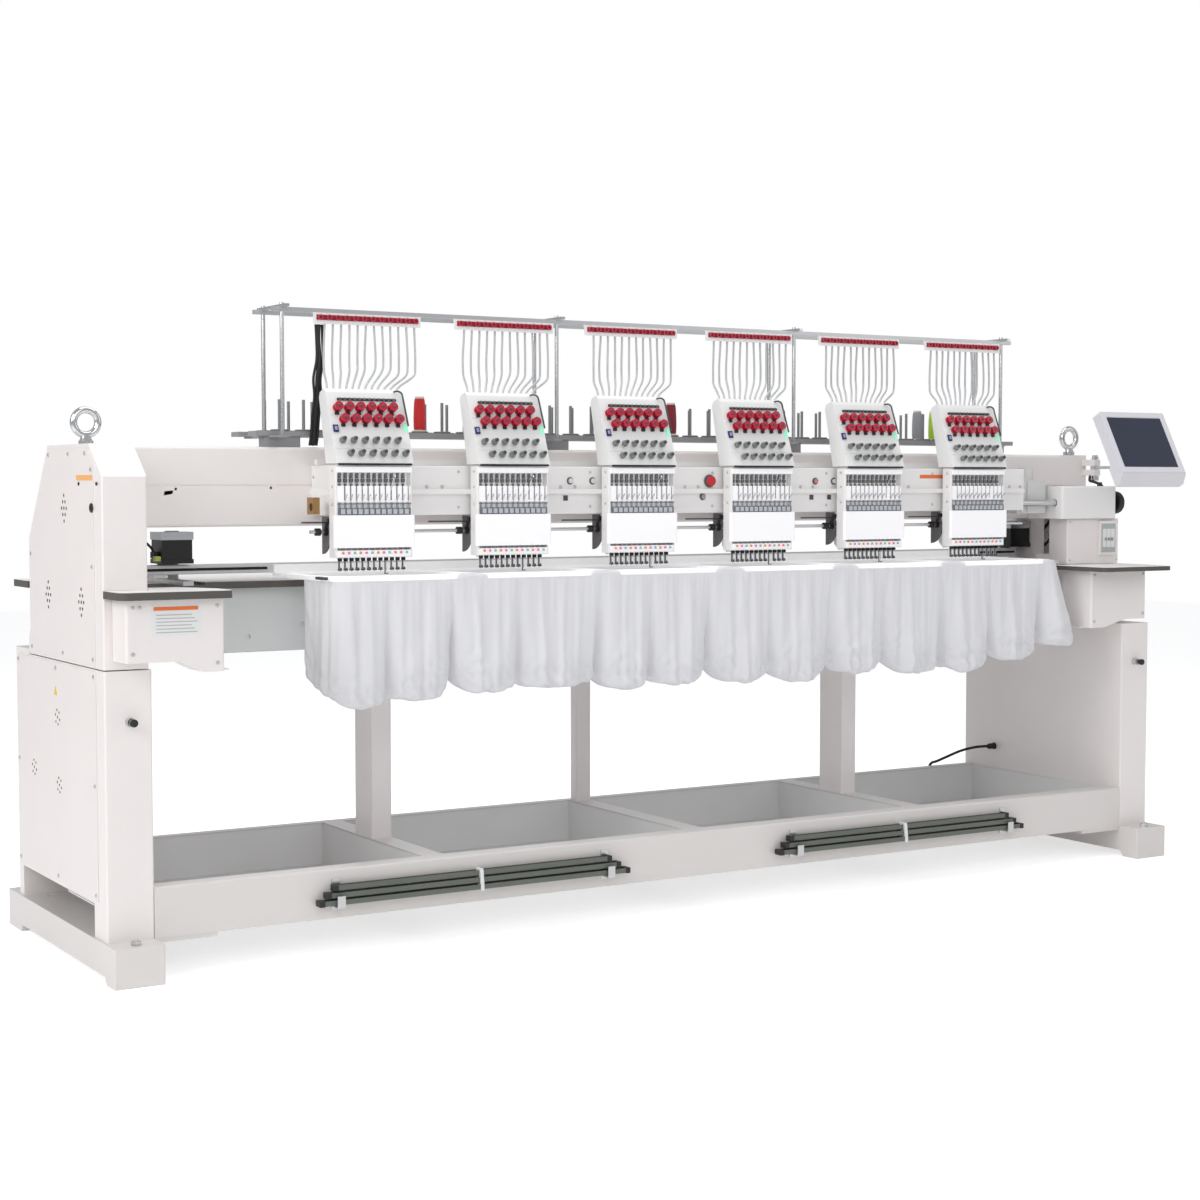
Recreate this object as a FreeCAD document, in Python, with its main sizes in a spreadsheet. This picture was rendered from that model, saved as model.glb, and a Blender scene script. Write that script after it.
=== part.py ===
import FreeCAD, Part, Sketcher
import math
import os
from FreeCAD import Placement, Rotation, Vector

# Six-head, twelve-needle tubular embroidery machine.
# X runs along the machine to the operator's right, +Y goes from the operator to the
# rear, +Z is up. Sizes are written against a machine datum: X = 0 halfway between the
# feet, Y = 0 at the front of the feet, Z = 0 on the floor. Each finished piece's
# Placement then moves the datum by -datum_x, -datum_y.

doc = FreeCAD.newDocument("embroidery_machine")
sheet = doc.addObject("Spreadsheet::Sheet", "cells")

CELLS = [
    # datum
    ("datum_x", 70.5), ("datum_y", 465.5),
    # side structure
    ("foot_half", 1900), ("foot_wide", 137), ("foot_deep", 980), ("foot_high", 106),
    ("foot_lift", 20), ("foot_front", 67), ("foot_rear", 128),
    ("anchor_rad", 9), ("anchor_front", 120), ("anchor_rear", 800),
    ("level_rad", 8), ("level_bore", 8.05),
    ("side_out", 1891), ("cab_wide", 129), ("box_wide", 121), ("col_front", 85),
    ("cab_top", 820), ("cab_rear", 897), ("sheet_t", 3), ("beam_top", 1414),
    # beams and rails
    ("base_in", 1762), ("rail_low", 104), ("rail_top", 241), ("rail_deep", 60), ("tray_t", 2),
    ("beam_half", 1769), ("beam_front", 400), ("beam_back", 556), ("beam_low", 1187),
    ("beam_wall", 6), ("bed_front", 470), ("bed_back", 640), ("bed_low", 822),
    ("board_low", 1010), ("board_top", 1030),
    # heads
    ("head_first", -1024), ("head_pitch", 450), ("head_count", 6),
    ("needle_y", 205), ("needle_pitch", 18), ("needle_count", 12), ("case_shift", -45),
    ("plate_top", 1042), ("tip_z", 1058), ("bar_rad", 3.5), ("bar_bore", 3.55),
    ("case_half", 120), ("case_front", 186), ("case_back", 228), ("case_low", 1100),
    ("case_top", 1360), ("cover_front", 176),
    # housing and drive
    ("house_front", 245), ("house_low", 1218), ("house_top", 1361),
    ("house_left", -1168), ("house_right", 1442),
    ("shaft_y", 264), ("shaft_z", 1243), ("shaft_rad", 11), ("shaft_bore", 11.05),
    ("hook_z", 998), ("hook_rad", 24), ("arm_shaft_rad", 5), ("arm_shaft_bore", 5.05),
    ("lower_y", 556), ("lower_rad", 6),
    # pantograph
    ("hoop_front", 100), ("hoop_back", 464), ("hoop_half", 213), ("hoop_wide", 12),
    ("hoop_low", 1038), ("hoop_top", 1050), ("bag_low", 715), ("bag_t", 6),
    # thread stand
    ("stand_first", -1279), ("stand_pitch", 900), ("stand_front", 345), ("stand_back", 483),
    ("shelf_low", 1446), ("shelf_top", 1460),
    ("guide_first", -1019), ("guide_z", 1765), ("tube_rad", 3),
    # operator panel
    ("panel_x", 1885), ("panel_half", 156), ("panel_high", 246), ("panel_t", 38),
    ("panel_tilt", 28), ("panel_y", 60), ("panel_z", 1346),
    ("post_y", 352), ("post_rad", 9), ("post_bore", 9.05),
]
for row, (alias, amount) in enumerate(CELLS, start=1):
    sheet.set("A%d" % row, alias)
    sheet.set("B%d" % row, "%s" % amount)
    sheet.setAlias("B%d" % row, alias)
doc.recompute()


class Size:
    """A length with its value and the spreadsheet expression that gives it."""

    def __init__(self, value, text):
        self.value = float(value)
        self.text = text

    @staticmethod
    def of(length):
        if isinstance(length, Size):
            return length
        return Size(length, "%.6g" % length if length >= 0 else "(%.6g)" % length)

    def driven(self):
        """True if the length depends on the spreadsheet."""
        return "cells." in self.text

    def __add__(self, other):
        other = Size.of(other)
        return Size(self.value + other.value, "(%s + %s)" % (self.text, other.text))

    def __radd__(self, other):
        return Size.of(other) + self

    def __sub__(self, other):
        other = Size.of(other)
        return Size(self.value - other.value, "(%s - %s)" % (self.text, other.text))

    def __rsub__(self, other):
        return Size.of(other) - self

    def __mul__(self, other):
        other = Size.of(other)
        return Size(self.value * other.value, "(%s * %s)" % (self.text, other.text))

    def __rmul__(self, other):
        return Size.of(other) * self

    def __truediv__(self, other):
        other = Size.of(other)
        return Size(self.value / other.value, "(%s / %s)" % (self.text, other.text))

    def __neg__(self):
        return Size(-self.value, "(0 - %s)" % self.text)


class Dimensions:
    """Holds one Size per spreadsheet alias."""


dim = Dimensions()
for alias, amount in CELLS:
    setattr(dim, alias, Size(amount, "cells." + alias))
HEADS = int(dim.head_count.value)
NEEDLES = int(dim.needle_count.value)
name_count = 0


def fresh(prefix):
    """An object name that has not been used yet."""
    global name_count
    name_count += 1
    return "%s_%03d" % (prefix, name_count)


def bind(obj, prop, length):
    length = Size.of(length)
    if length.driven():
        obj.setExpression(prop, length.text)
    else:
        setattr(obj, prop, length.value)


def place(obj, x=None, y=None, z=None):
    for axis, length in (("x", x), ("y", y), ("z", z)):
        if length is None:
            continue
        length = Size.of(length)
        if length.driven():
            obj.setExpression("Placement.Base." + axis, length.text)
        else:
            base = obj.Placement.Base
            setattr(base, axis, length.value)
            obj.Placement = Placement(base, obj.Placement.Rotation)


nodes = []
builders = []


def finish(obj, label):
    """Label a piece and move it from the machine datum to the origin."""
    obj.Label = label
    place(obj, -dim.datum_x, -dim.datum_y)
    nodes.append(obj)


def piece(build):
    """Register a function whose result becomes the piece of the same name."""
    builders.append(build)
    return build


# ---------------------------------------------------------------- part primitives
AXIS_TURN = {
    "x": Rotation(Vector(0, 1, 0), 90),
    "y": Rotation(Vector(1, 0, 0), -90),
    "z": Rotation(),
}


def box(x0, x1, y0, y1, z0, z1):
    part = doc.addObject("Part::Box", fresh("box"))
    x0, x1, y0, y1, z0, z1 = [Size.of(a) for a in (x0, x1, y0, y1, z0, z1)]
    bind(part, "Length", x1 - x0)
    bind(part, "Width", y1 - y0)
    bind(part, "Height", z1 - z0)
    place(part, x0, y0, z0)
    return part


def turned(kind, axis, x, y, z, **sizes):
    """A Part primitive at x, y, z with its own Z axis turned along the given axis."""
    part = doc.addObject("Part::" + kind, fresh(kind.lower()))
    for prop, length in sizes.items():
        bind(part, prop, length)
    part.Placement = Placement(Vector(0, 0, 0), AXIS_TURN[axis])
    place(part, x, y, z)
    return part


def rod(axis, x, y, z, radius, length):
    return turned("Cylinder", axis, x, y, z, Radius=radius, Height=length)


def cone(axis, x, y, z, radius1, radius2, length):
    return turned("Cone", axis, x, y, z, Radius1=radius1, Radius2=radius2, Height=length)


def torus(axis, x, y, z, ring_radius, wire_radius):
    return turned("Torus", axis, x, y, z, Radius1=ring_radius, Radius2=wire_radius)


def hexagon(axis, x, y, z, radius, length):
    part = turned("Prism", axis, x, y, z, Circumradius=radius, Height=length)
    part.Polygon = 6
    return part


def cut(base, tool):
    part = doc.addObject("Part::Cut", fresh("cut"))
    part.Base = base
    part.Tool = tool
    return part


def fuse(*parts):
    part = doc.addObject("Part::MultiFuse", fresh("fuse"))
    part.Shapes = list(parts)
    return part


def group(*parts):
    part = doc.addObject("Part::Compound", fresh("group"))
    part.Links = list(parts)
    return part


def copies(source, offsets):
    """A group of links to one shape, each moved by an offset."""
    links = []
    for dx, dy, dz in offsets:
        link = doc.addObject("App::Link", fresh("copy"))
        link.LinkedObject = source
        link.LinkTransform = True
        place(link, dx, dy, dz)
        links.append(link)
    return group(*links)


def at_heads(source):
    """Repeat a shape drawn for the first head at every head."""
    return copies(source, [(dim.head_pitch * i, 0, 0) for i in range(HEADS)])


def mirror_x(source):
    part = doc.addObject("Part::Mirroring", fresh("mirror"))
    part.Source = source
    part.Base = Vector(0, 0, 0)
    part.Normal = Vector(1, 0, 0)
    return part


# ---------------------------------------------------------------- part design bodies
class Body:
    """A PartDesign body drawn with fully dimensioned sketches.

    A loop is ("circle", x, y, radius), ("rect", x0, x1, y0, y1) or ("poly", points),
    in the two axes of the sketch plane "XY", "XZ" or "YZ". Pads and pockets span lo to
    hi along the third axis.
    """

    def __init__(self, name):
        self.body = doc.addObject("PartDesign::Body", name)
        self.last = None

    def plane(self, name):
        planes = self.body.Origin.OriginFeatures
        return [f for f in planes if f.Role == name + "_Plane"][0]

    def sketch(self, plane, loops, level):
        sketch = self.body.newObject("Sketcher::SketchObject", fresh("sketch"))
        sketch.AttachmentSupport = [(self.plane(plane), "")]
        sketch.MapMode = "FlatFace"
        level = Size.of(level)
        if plane == "XZ":
            level = -level  # this plane's normal is -Y
        if level.driven():
            sketch.setExpression("AttachmentOffset.Base.z", level.text)
        else:
            sketch.AttachmentOffset = Placement(Vector(0, 0, level.value), Rotation())
        for loop in loops:
            if loop[0] == "circle":
                self.draw_circle(sketch, *loop[1:])
            elif loop[0] == "rect":
                x0, x1, y0, y1 = loop[1:]
                self.draw_polygon(sketch, [(x0, y0), (x1, y0), (x1, y1), (x0, y1)])
            else:
                self.draw_polygon(sketch, loop[1])
        return sketch

    def draw_circle(self, sketch, x, y, radius):
        x, y, radius = Size.of(x), Size.of(y), Size.of(radius)
        circle = Part.Circle(Vector(x.value, y.value, 0), Vector(0, 0, 1), radius.value)
        edge = sketch.addGeometry(circle, False)
        index = sketch.addConstraint(Sketcher.Constraint("Radius", edge, radius.value))
        if radius.driven():
            sketch.setExpression("Constraints[%d]" % index, radius.text)
        self.pin(sketch, edge, 3, x, y)

    def draw_polygon(self, sketch, points):
        points = [(Size.of(x), Size.of(y)) for x, y in points]
        corners = [Vector(x.value, y.value, 0) for x, y in points]
        count = len(points)
        edges = []
        for k in range(count):
            line = Part.LineSegment(corners[k], corners[(k + 1) % count])
            edges.append(sketch.addGeometry(line, False))
        for k in range(count):
            following = edges[(k + 1) % count]
            sketch.addConstraint(Sketcher.Constraint("Coincident", edges[k], 2, following, 1))
        for k in range(count):
            self.pin(sketch, edges[k], 1, *points[k])

    @staticmethod
    def pin(sketch, edge, point, x, y):
        """Fix a point of an edge by its distances from the sketch origin."""
        for kind, length, axis in (("DistanceX", x, -2), ("DistanceY", y, -1)):
            if abs(length.value) < 1e-9:
                sketch.addConstraint(Sketcher.Constraint("PointOnObject", edge, point, axis))
            else:
                index = sketch.addConstraint(
                    Sketcher.Constraint(kind, -1, 1, edge, point, length.value))
                if length.driven():
                    sketch.setExpression("Constraints[%d]" % index, length.text)

    def extrude(self, kind, plane, loops, level, length):
        profile = self.sketch(plane, loops, level)
        feature = self.body.newObject("PartDesign::" + kind, fresh(kind.lower()))
        feature.Profile = profile
        bind(feature, "Length", length)
        self.last = feature

    def pad(self, plane, loops, lo, hi):
        lo, hi = Size.of(lo), Size.of(hi)
        self.extrude("Pad", plane, loops, hi if plane == "XZ" else lo, hi - lo)

    def pocket(self, plane, loops, lo, hi):
        lo, hi = Size.of(lo), Size.of(hi)
        self.extrude("Pocket", plane, loops, lo if plane == "XZ" else hi, hi - lo)

    def round(self, radius, test):
        """Fillet the edges of the last feature that pass the test."""
        doc.recompute()
        names = []
        for i, edge in enumerate(self.last.Shape.Edges, start=1):
            if edge.Length > 1e-6 and test(edge):
                names.append("Edge%d" % i)
        feature = self.body.newObject("PartDesign::Fillet", fresh("round"))
        feature.Base = (self.last, names)
        feature.Radius = radius
        self.last = feature


EDGE_REACH = 0.6  # how far an edge's midpoint may lie from the point asked for


def along(axis, *points):
    """Edge test: straight, parallel to an axis and, if points are given, centred on one.

    A coordinate that is None or left off the end is not compared.
    """
    k = "xyz".index(axis)
    wanted = [[None if a is None else Size.of(a).value for a in point] for point in points]

    def test(edge):
        if not isinstance(edge.Curve, (Part.Line, Part.LineSegment)):
            return False
        start, end = edge.Vertexes[0].Point, edge.Vertexes[-1].Point
        span = end - start
        if abs(abs(span[k]) - span.Length) > 1e-4:
            return False
        if not wanted:
            return True
        middle = (start + end) * 0.5
        return any(all(a is None or abs(middle[i] - a) < EDGE_REACH
                       for i, a in enumerate(point)) for point in wanted)

    return test


# =============================================================== base and sides
FOOT_LEFT = -dim.foot_half
FOOT_RIGHT = FOOT_LEFT + dim.foot_wide
FOOT_MIDDLE = FOOT_LEFT + dim.foot_wide / 2
FOOT_SPACING = 2 * dim.foot_half - dim.foot_wide
FOOT_RAMP = 14
LEVEL_FRONT = 34  # levelling screw from the front end of the foot
LEVEL_REAR = 40  # and from its rear end

REAR_RAIL_DEEP = 40
REAR_RAIL_DROP = 2
CROSS_TUBES = ((-939, -872), (-36, 31), (843, 910))  # x0, x1
TRAY_GAP = 2
TRAY_LOW = 106
# x0, x1, y0, y1, top
BED_POSTS = (
    (-939, -872, 494, 614, dim.bed_low),
    (-31, 27, 817, 856, dim.board_low),
    (845, 907, 494, 621, dim.bed_low),
)
POST_WALL = 4
PEG_X = -dim.side_out + 67
PEG_Z = 685


@piece
def foot_beams():
    """Sole beams across the depth, relieved underneath between their end pads."""
    beam = Body("foot_beam")
    rear_pad = dim.foot_deep - dim.foot_rear
    beam.pad("YZ", [("poly", [
        (0, 0), (dim.foot_front, 0), (dim.foot_front + FOOT_RAMP, dim.foot_lift),
        (rear_pad - FOOT_RAMP, dim.foot_lift), (rear_pad, 0),
        (dim.foot_deep, 0), (dim.foot_deep, dim.foot_high), (0, dim.foot_high)])],
        FOOT_LEFT, FOOT_RIGHT)
    beam.pocket("XY", [
        ("circle", FOOT_MIDDLE, dim.anchor_front, dim.anchor_rad),
        ("circle", FOOT_MIDDLE, dim.anchor_rear, dim.anchor_rad),
        ("circle", FOOT_MIDDLE, LEVEL_FRONT, dim.level_bore),
        ("circle", FOOT_MIDDLE, dim.foot_deep - LEVEL_REAR, dim.level_bore)],
        -1, dim.foot_high + 1)
    beam.round(4, along("z", (FOOT_LEFT, 0), (FOOT_RIGHT, 0),
                        (FOOT_LEFT, dim.foot_deep), (FOOT_RIGHT, dim.foot_deep)))
    return copies(beam.body, [(0, 0, 0), (FOOT_SPACING, 0, 0)])


@piece
def levelling_screws():
    screw = fuse(
        rod("z", FOOT_MIDDLE, LEVEL_FRONT, 1, dim.level_rad, dim.foot_high + 12),
        hexagon("z", FOOT_MIDDLE, LEVEL_FRONT, dim.foot_high + 0.5, 14, 9))
    depth = dim.foot_deep - (LEVEL_FRONT + LEVEL_REAR)
    return copies(screw, [(0, 0, 0), (FOOT_SPACING, 0, 0),
                          (0, depth, 0), (FOOT_SPACING, depth, 0)])


@piece
def base_frame():
    """Front and rear rails, three cross tubes, and pads under the front rail's ends."""
    frame = Body("base_frame_body")
    left, right = -dim.base_in, dim.base_in
    rail_back = dim.col_front + dim.rail_deep
    rear_top = dim.rail_top - REAR_RAIL_DROP
    rear_front = dim.cab_rear - REAR_RAIL_DEEP
    frame.pad("XY", [("rect", left, right, dim.col_front, rail_back)],
              dim.rail_low, dim.rail_top)
    frame.pad("XY", [("rect", left, right, rear_front, dim.cab_rear)], dim.rail_low, rear_top)
    for x0, x1 in CROSS_TUBES:
        frame.pad("XY", [("rect", x0, x1, rail_back - 1, rear_front + 1)], 150, rear_top)
    end_pad = 175
    for x0, x1 in ((left, left + end_pad), (right - end_pad, right)):
        frame.pad("XY", [("rect", x0, x1, dim.col_front + 2, rail_back - 2)],
                  92, dim.rail_low + 1)
    frame.round(5, along("x", (None, dim.col_front, dim.rail_top),
                         (None, dim.cab_rear, rear_top)))
    return frame.body


@piece
def waste_trays():
    """Four sheet-metal trays that drop in between the cross tubes."""
    starts = [-dim.base_in] + [x1 for x0, x1 in CROSS_TUBES]
    ends = [x0 for x0, x1 in CROSS_TUBES] + [dim.base_in]
    front = dim.col_front + dim.rail_deep + 1.5
    back = dim.cab_rear - REAR_RAIL_DEEP - 1.5
    wall = dim.tray_t
    trays = []
    for start, end in zip(starts, ends):
        x0, x1 = start + TRAY_GAP, end - TRAY_GAP
        tray = Body(fresh("tray"))
        tray.pad("XY", [("rect", x0, x1, front, back)], TRAY_LOW, dim.rail_top - 6)
        tray.pocket("XY", [("rect", x0 + wall, x1 - wall, front + wall, back - wall)],
                    TRAY_LOW + wall, dim.rail_top)
        trays.append(tray.body)
    return group(*trays)


@piece
def bed_posts():
    """Hollow posts from the base frame up to the bed and the rear board."""
    posts = []
    low = dim.rail_top - REAR_RAIL_DROP
    for x0, x1, y0, y1, top in BED_POSTS:
        post = Body(fresh("post"))
        post.pad("XY", [("rect", x0, x1, y0, y1)], low, top)
        post.round(5, along("z"))
        post.pocket("XY", [("rect", x0 + POST_WALL, x1 - POST_WALL,
                            y0 + POST_WALL, y1 - POST_WALL)], low, top)
        posts.append(post.body)
    return group(*posts)


@piece
def lower_cabinets():
    """Sheet shells, open below, that straddle the foot on a front and a rear leg."""
    cabinet = Body("lower_cabinet")
    left = -dim.side_out
    right = left + dim.cab_wide
    wall = dim.sheet_t
    front, rear, low, top = dim.col_front, dim.cab_rear, dim.foot_high, dim.cab_top
    cabinet.pad("YZ", [("poly", [
        (front, low), (188, low), (188, 195), (849, 195), (849, low),
        (rear, low), (rear, 835), (764, 835), (764, top), (front, top)])], left, right)
    cabinet.round(6, along("z", (left, front), (right, front), (left, rear)))
    cabinet.pocket("YZ", [("poly", [
        (front + wall, low - 1), (185, low - 1), (185, 198), (189, 198),
        (189, 194), (848, 194), (848, 198), (852, 198), (852, low - 1),
        (rear - wall, low - 1), (rear - wall, 832), (767, 832),
        (767, top - wall), (front + wall, top - wall)])], left + wall, right - wall)
    cabinet.pocket("XZ", [("circle", PEG_X, PEG_Z, 4.05)], front - 1, front + 6)
    return group(cabinet.body, mirror_x(cabinet.body))


@piece
def upper_side_boxes():
    """Shells open below: the left one reaches the front column, the right one stops at
    the beam and carries the two-eared bracket of the operator panel."""
    wall, top, front = dim.sheet_t, dim.beam_top, dim.col_front
    outer_left, inner_left = -dim.side_out, -dim.side_out + dim.box_wide
    left = Body("left_upper_box")
    left.pad("YZ", [("poly", [
        (front, 823), (761, 823), (761, 860), (745, 900), (745, 1154), (555, top),
        (190, top), (front, 1327)])], outer_left, inner_left)
    left.round(5, along("z", (outer_left, front), (inner_left, front)))
    left.pocket("YZ", [("poly", [
        (front + wall, 822), (758, 822), (758, 860), (742, 900), (742, 1153),
        (553, top - wall), (192, top - wall), (front + wall, 1325)])],
        outer_left + wall, inner_left - wall)

    inner, outer = dim.side_out - dim.box_wide, dim.side_out
    right = Body("right_upper_box")
    for outline in (
            [(402, 1032), (745, 1032), (745, 1154), (555, top), (402, top)],
            [(200, 823), (761, 823), (761, 860), (745, 900), (745, 1008), (200, 1008)],
            [(402, 1000), (745, 1000), (745, 1040), (402, 1040)]):
        right.pad("YZ", [("poly", outline)], inner, outer)
    for outline in (
            [(405, 822), (742, 822), (742, 1153), (553, top - wall), (405, top - wall)],
            [(203, 822), (406, 822), (406, 1005), (203, 1005)]):
        right.pocket("YZ", [("poly", outline)], inner + wall, outer - wall)
    ear_half = 14
    for low, high in ((1340, 1362), (1376, 1398)):
        right.pad("XY", [("rect", dim.panel_x - ear_half, dim.panel_x + ear_half,
                          dim.post_y - ear_half, 403)], low, high)
    right.pocket("XY", [("circle", dim.panel_x, dim.post_y, dim.post_bore)], 1330, 1405)
    return group(left.body, right.body)


def vent(y, z, pitch=21, radius=4):
    """Diamond of nine holes."""
    holes = []
    for row, count in enumerate((1, 2, 3, 2, 1)):
        for k in range(count):
            holes.append(("circle", y + (k - (count - 1) / 2) * pitch,
                          z + (2 - row) * pitch * 0.83, radius))
    return holes


def flower(y, z, radius=3.5, ring=20, petals=6):
    """A centre hole with a ring of holes around it."""
    holes = [("circle", y, z, radius)]
    for k in range(petals):
        angle = 2 * math.pi * k / petals + 0.3
        holes.append(("circle", y + ring * math.cos(angle), z + ring * math.sin(angle), radius))
    return holes


@piece
def side_covers():
    """Thin covers on the outside of the sides, with vent patterns."""
    far, near, clear = dim.side_out + 2.2, dim.side_out + 0.2, dim.side_out + 4
    upper = Body("upper_cover")
    upper.pad("YZ", [("poly", [(150, 830), (738, 830), (738, 1150), (551, 1404),
                               (196, 1404), (150, 1366)])], -far, -near)
    upper.pocket("YZ", vent(403, 1242) + vent(558, 1001) + vent(261, 993)
                 + [("circle", 166, 1245, 5)], -clear, -dim.side_out)
    lower = Body("lower_cover")
    lower.pad("YZ", [("poly", [(150, 205), (880, 205), (880, 815), (150, 815)])], -far, -near)
    lower.pocket("YZ", flower(489, 664) + flower(718, 499) + flower(480, 476),
                 -clear, -dim.side_out)
    upper_right = Body("upper_cover_right")
    upper_right.pad("YZ", [("poly", [(420, 1045), (738, 1045), (738, 1150), (551, 1404),
                                     (420, 1404)])], near, far)
    upper_right.pocket("YZ", vent(560, 1242), dim.side_out, clear)
    return group(upper.body, lower.body, upper_right.body, mirror_x(lower.body))


# =============================================================== beams and bed
# Board outlines, x and y; the named corners are the rounded ones.
LEFT_BOARD = [(-1891, -49), (-1581, -49), (-1581, 70), (-1650, 200),
              (-1768, 200), (-1768, 84), (-1891, 84)]
LEFT_CORNERS = LEFT_BOARD[:2]
RIGHT_BOARD = [(1543, -49), (1860, -49), (1891, 60), (1891, 395),
               (1768, 395), (1768, 236), (1560, 236), (1543, 70)]
RIGHT_CORNERS = RIGHT_BOARD[:2]
REAR_BOARD = [(-1768, 430), (1768, 430), (1768, 764), (1891, 764),
              (1891, 925), (-1891, 925), (-1891, 764), (-1768, 764)]
REAR_CORNERS = REAR_BOARD[4:6]
EYE_X, EYE_Y = 1824, 422


@piece
def main_beam():
    beam = Body("main_beam_body")
    front, back, low, top = dim.beam_front, dim.beam_back, dim.beam_low, dim.beam_top
    half, wall = dim.beam_half, dim.beam_wall
    beam.pad("YZ", [("poly", [(front, low), (back, low), (back, top), (front, top)])],
             -half, half)
    beam.round(10, along("x", (None, front, top), (None, front, low),
                         (None, back, top), (None, back, low)))
    beam.pocket("YZ", [("rect", front + wall, back - wall, low + wall, top - wall)],
                -half - 1, half + 1)
    # Shallow groove along the front face.
    beam.pocket("YZ", [("rect", front - 1, front + 2, 1303, 1306)], -half - 1, half + 1)
    # Slanted slot and two holes at the left end of the front wall.
    beam.pocket("XZ", [
        ("poly", [(-1612, 1276), (-1586, 1280), (-1584, 1290), (-1610, 1288)]),
        ("circle", -1577, 1294, 4), ("circle", -1293, 1297, 4)], front - 1, front + 10)
    return beam.body


@piece
def bed_beam():
    """Channel, open upwards; holes in its front web pass the arm shafts."""
    bed = Body("bed_beam_body")
    front, back, low, wall = dim.bed_front, dim.bed_back, dim.bed_low, 4
    bed.pad("YZ", [("rect", front, back, low, dim.board_low)],
            -dim.beam_half + 1, dim.beam_half - 1)
    bed.round(6, along("x", (None, front, low), (None, back, low)))
    bed.pocket("YZ", [("rect", front + wall, back - wall, low + wall, dim.board_low + 5)],
               -dim.beam_half, dim.beam_half)
    bed.pocket("XZ", [("circle", dim.head_first + dim.head_pitch * i, dim.hook_z, 9)
                      for i in range(HEADS)], front - 2, front + 8)
    return bed.body


@piece
def table_boards():
    """Left and right front boards, and the long rear board around the side boxes."""
    left = Body("left_board")
    left.pad("XY", [("poly", LEFT_BOARD)], dim.board_low, dim.board_top)
    left.round(24, along("z", *LEFT_CORNERS))
    right = Body("right_board")
    right.pad("XY", [("poly", RIGHT_BOARD)], dim.board_low, dim.board_top - 5)
    right.round(18, along("z", *RIGHT_CORNERS))
    rear = Body("rear_board")
    rear.pad("XY", [("poly", REAR_BOARD)], dim.board_low + 0.2, dim.board_top)
    # Slot around the belt of the lower shaft.
    rear.pocket("XY", [("rect", 1676, 1724, 462, 610)], 1005, 1035)
    rear.round(20, along("z", *REAR_CORNERS))
    return group(left.body, right.body, rear.body)


@piece
def table_boxes():
    """Sheet boxes under the front boards, open above and behind, each with a flange."""
    left = Body("left_table_box")
    left.pad("XZ", [("poly", [(-1867, 1009), (-1600, 1009), (-1600, 817), (-1660, 817),
                              (-1720, 847), (-1867, 847)])], -21, 84)
    left.round(8, along("z", (-1867, -21), (-1600, -21)))
    left.pocket("XZ", [("poly", [(-1864, 1010), (-1603, 1010), (-1603, 820), (-1659, 820),
                                 (-1719, 850), (-1864, 850)])], -18, 85)
    left.pad("XY", [("rect", -1602, -1576, 10, 70)], 817, 820)
    right = Body("right_table_box")
    right.pad("XZ", [("poly", [(1588, 1009), (1588, 812), (1650, 812), (1745, 838),
                               (1850, 838), (1850, 1009)])], 60, 199)
    right.round(8, along("z", (1588, 60), (1850, 60)))
    right.pocket("XZ", [("poly", [(1591, 1010), (1591, 815), (1649, 815), (1744, 841),
                                  (1847, 841), (1847, 1010)])], 63, 200)
    right.pad("XY", [("rect", 1564, 1590, 90, 150)], 812, 815)
    return group(left.body, right.body)


@piece
def eye_bolts():
    """Lifting eyes near the beam ends."""
    eye = fuse(torus("y", -EYE_X, EYE_Y, 1476, 34, 10),
               rod("z", -EYE_X, EYE_Y, 1414.2, 20, 12),
               cone("z", -EYE_X, EYE_Y, 1426, 18, 11, 16))
    return group(eye, copies(eye, [(2 * EYE_X, 0, 0)]))


# =============================================================== heads, fixed parts
head_x = dim.head_first
ARM_HALF = 38
ARM_INNER_HALF = 31
PRESSER_ROD_Y, PRESSER_ROD_Z = 262, 1172
STOP_BUTTON = (118, 1318)  # x, z
START_BUTTONS = ((-391, 1318), (-312, 1318), (93, 1269), (535, 1318), (610, 1318))  # x, z


@piece
def front_housing():
    """Long housing that covers the main shaft and carries the case rail."""
    housing = Body("front_housing_body")
    front, low, top, wall = dim.house_front, dim.house_low, dim.house_top, 3
    left, right = dim.house_left, dim.house_right
    housing.pad("YZ", [("rect", front, dim.beam_front - 0.5, low, top)], left, right)
    housing.round(4, along("x", (None, front, top), (None, front, low)))
    housing.pocket("YZ", [("rect", front + wall, dim.beam_front + 1, low + wall, top - wall)],
                   left + wall, right - wall)
    housing.pocket("YZ", [("circle", dim.shaft_y, dim.shaft_z, dim.shaft_rad + 2)],
                   left + 4, right + 1)
    housing.pocket("XZ", [("circle", *STOP_BUTTON, 9.1)]
                   + [("circle", x, z, 5.1) for x, z in START_BUTTONS], front - 1, front + 8)
    return housing.body


@piece
def head_arms():
    """Castings under the housing, one per head, with a side block to the left."""
    arm = Body("head_arm")
    half = 46
    arm.pad("YZ", [("poly", [(247, 1217), (247, 1120), (262, 1098), (290, 1098),
                             (330, 1150), (399, 1189), (399, 1217)])],
            head_x - half, head_x + half)
    arm.round(6, along("z", (head_x - half, 247), (head_x + half, 247)))
    arm.pad("YZ", [("poly", [(247, 1180), (300, 1180), (300, 1112), (276, 1092),
                             (258, 1098), (247, 1130)])], head_x - 120, head_x - half + 1)
    arm.pocket("YZ", [("circle", PRESSER_ROD_Y, PRESSER_ROD_Z, 5.2)],
               head_x - 125, head_x + 50)
    return at_heads(arm.body)


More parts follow.
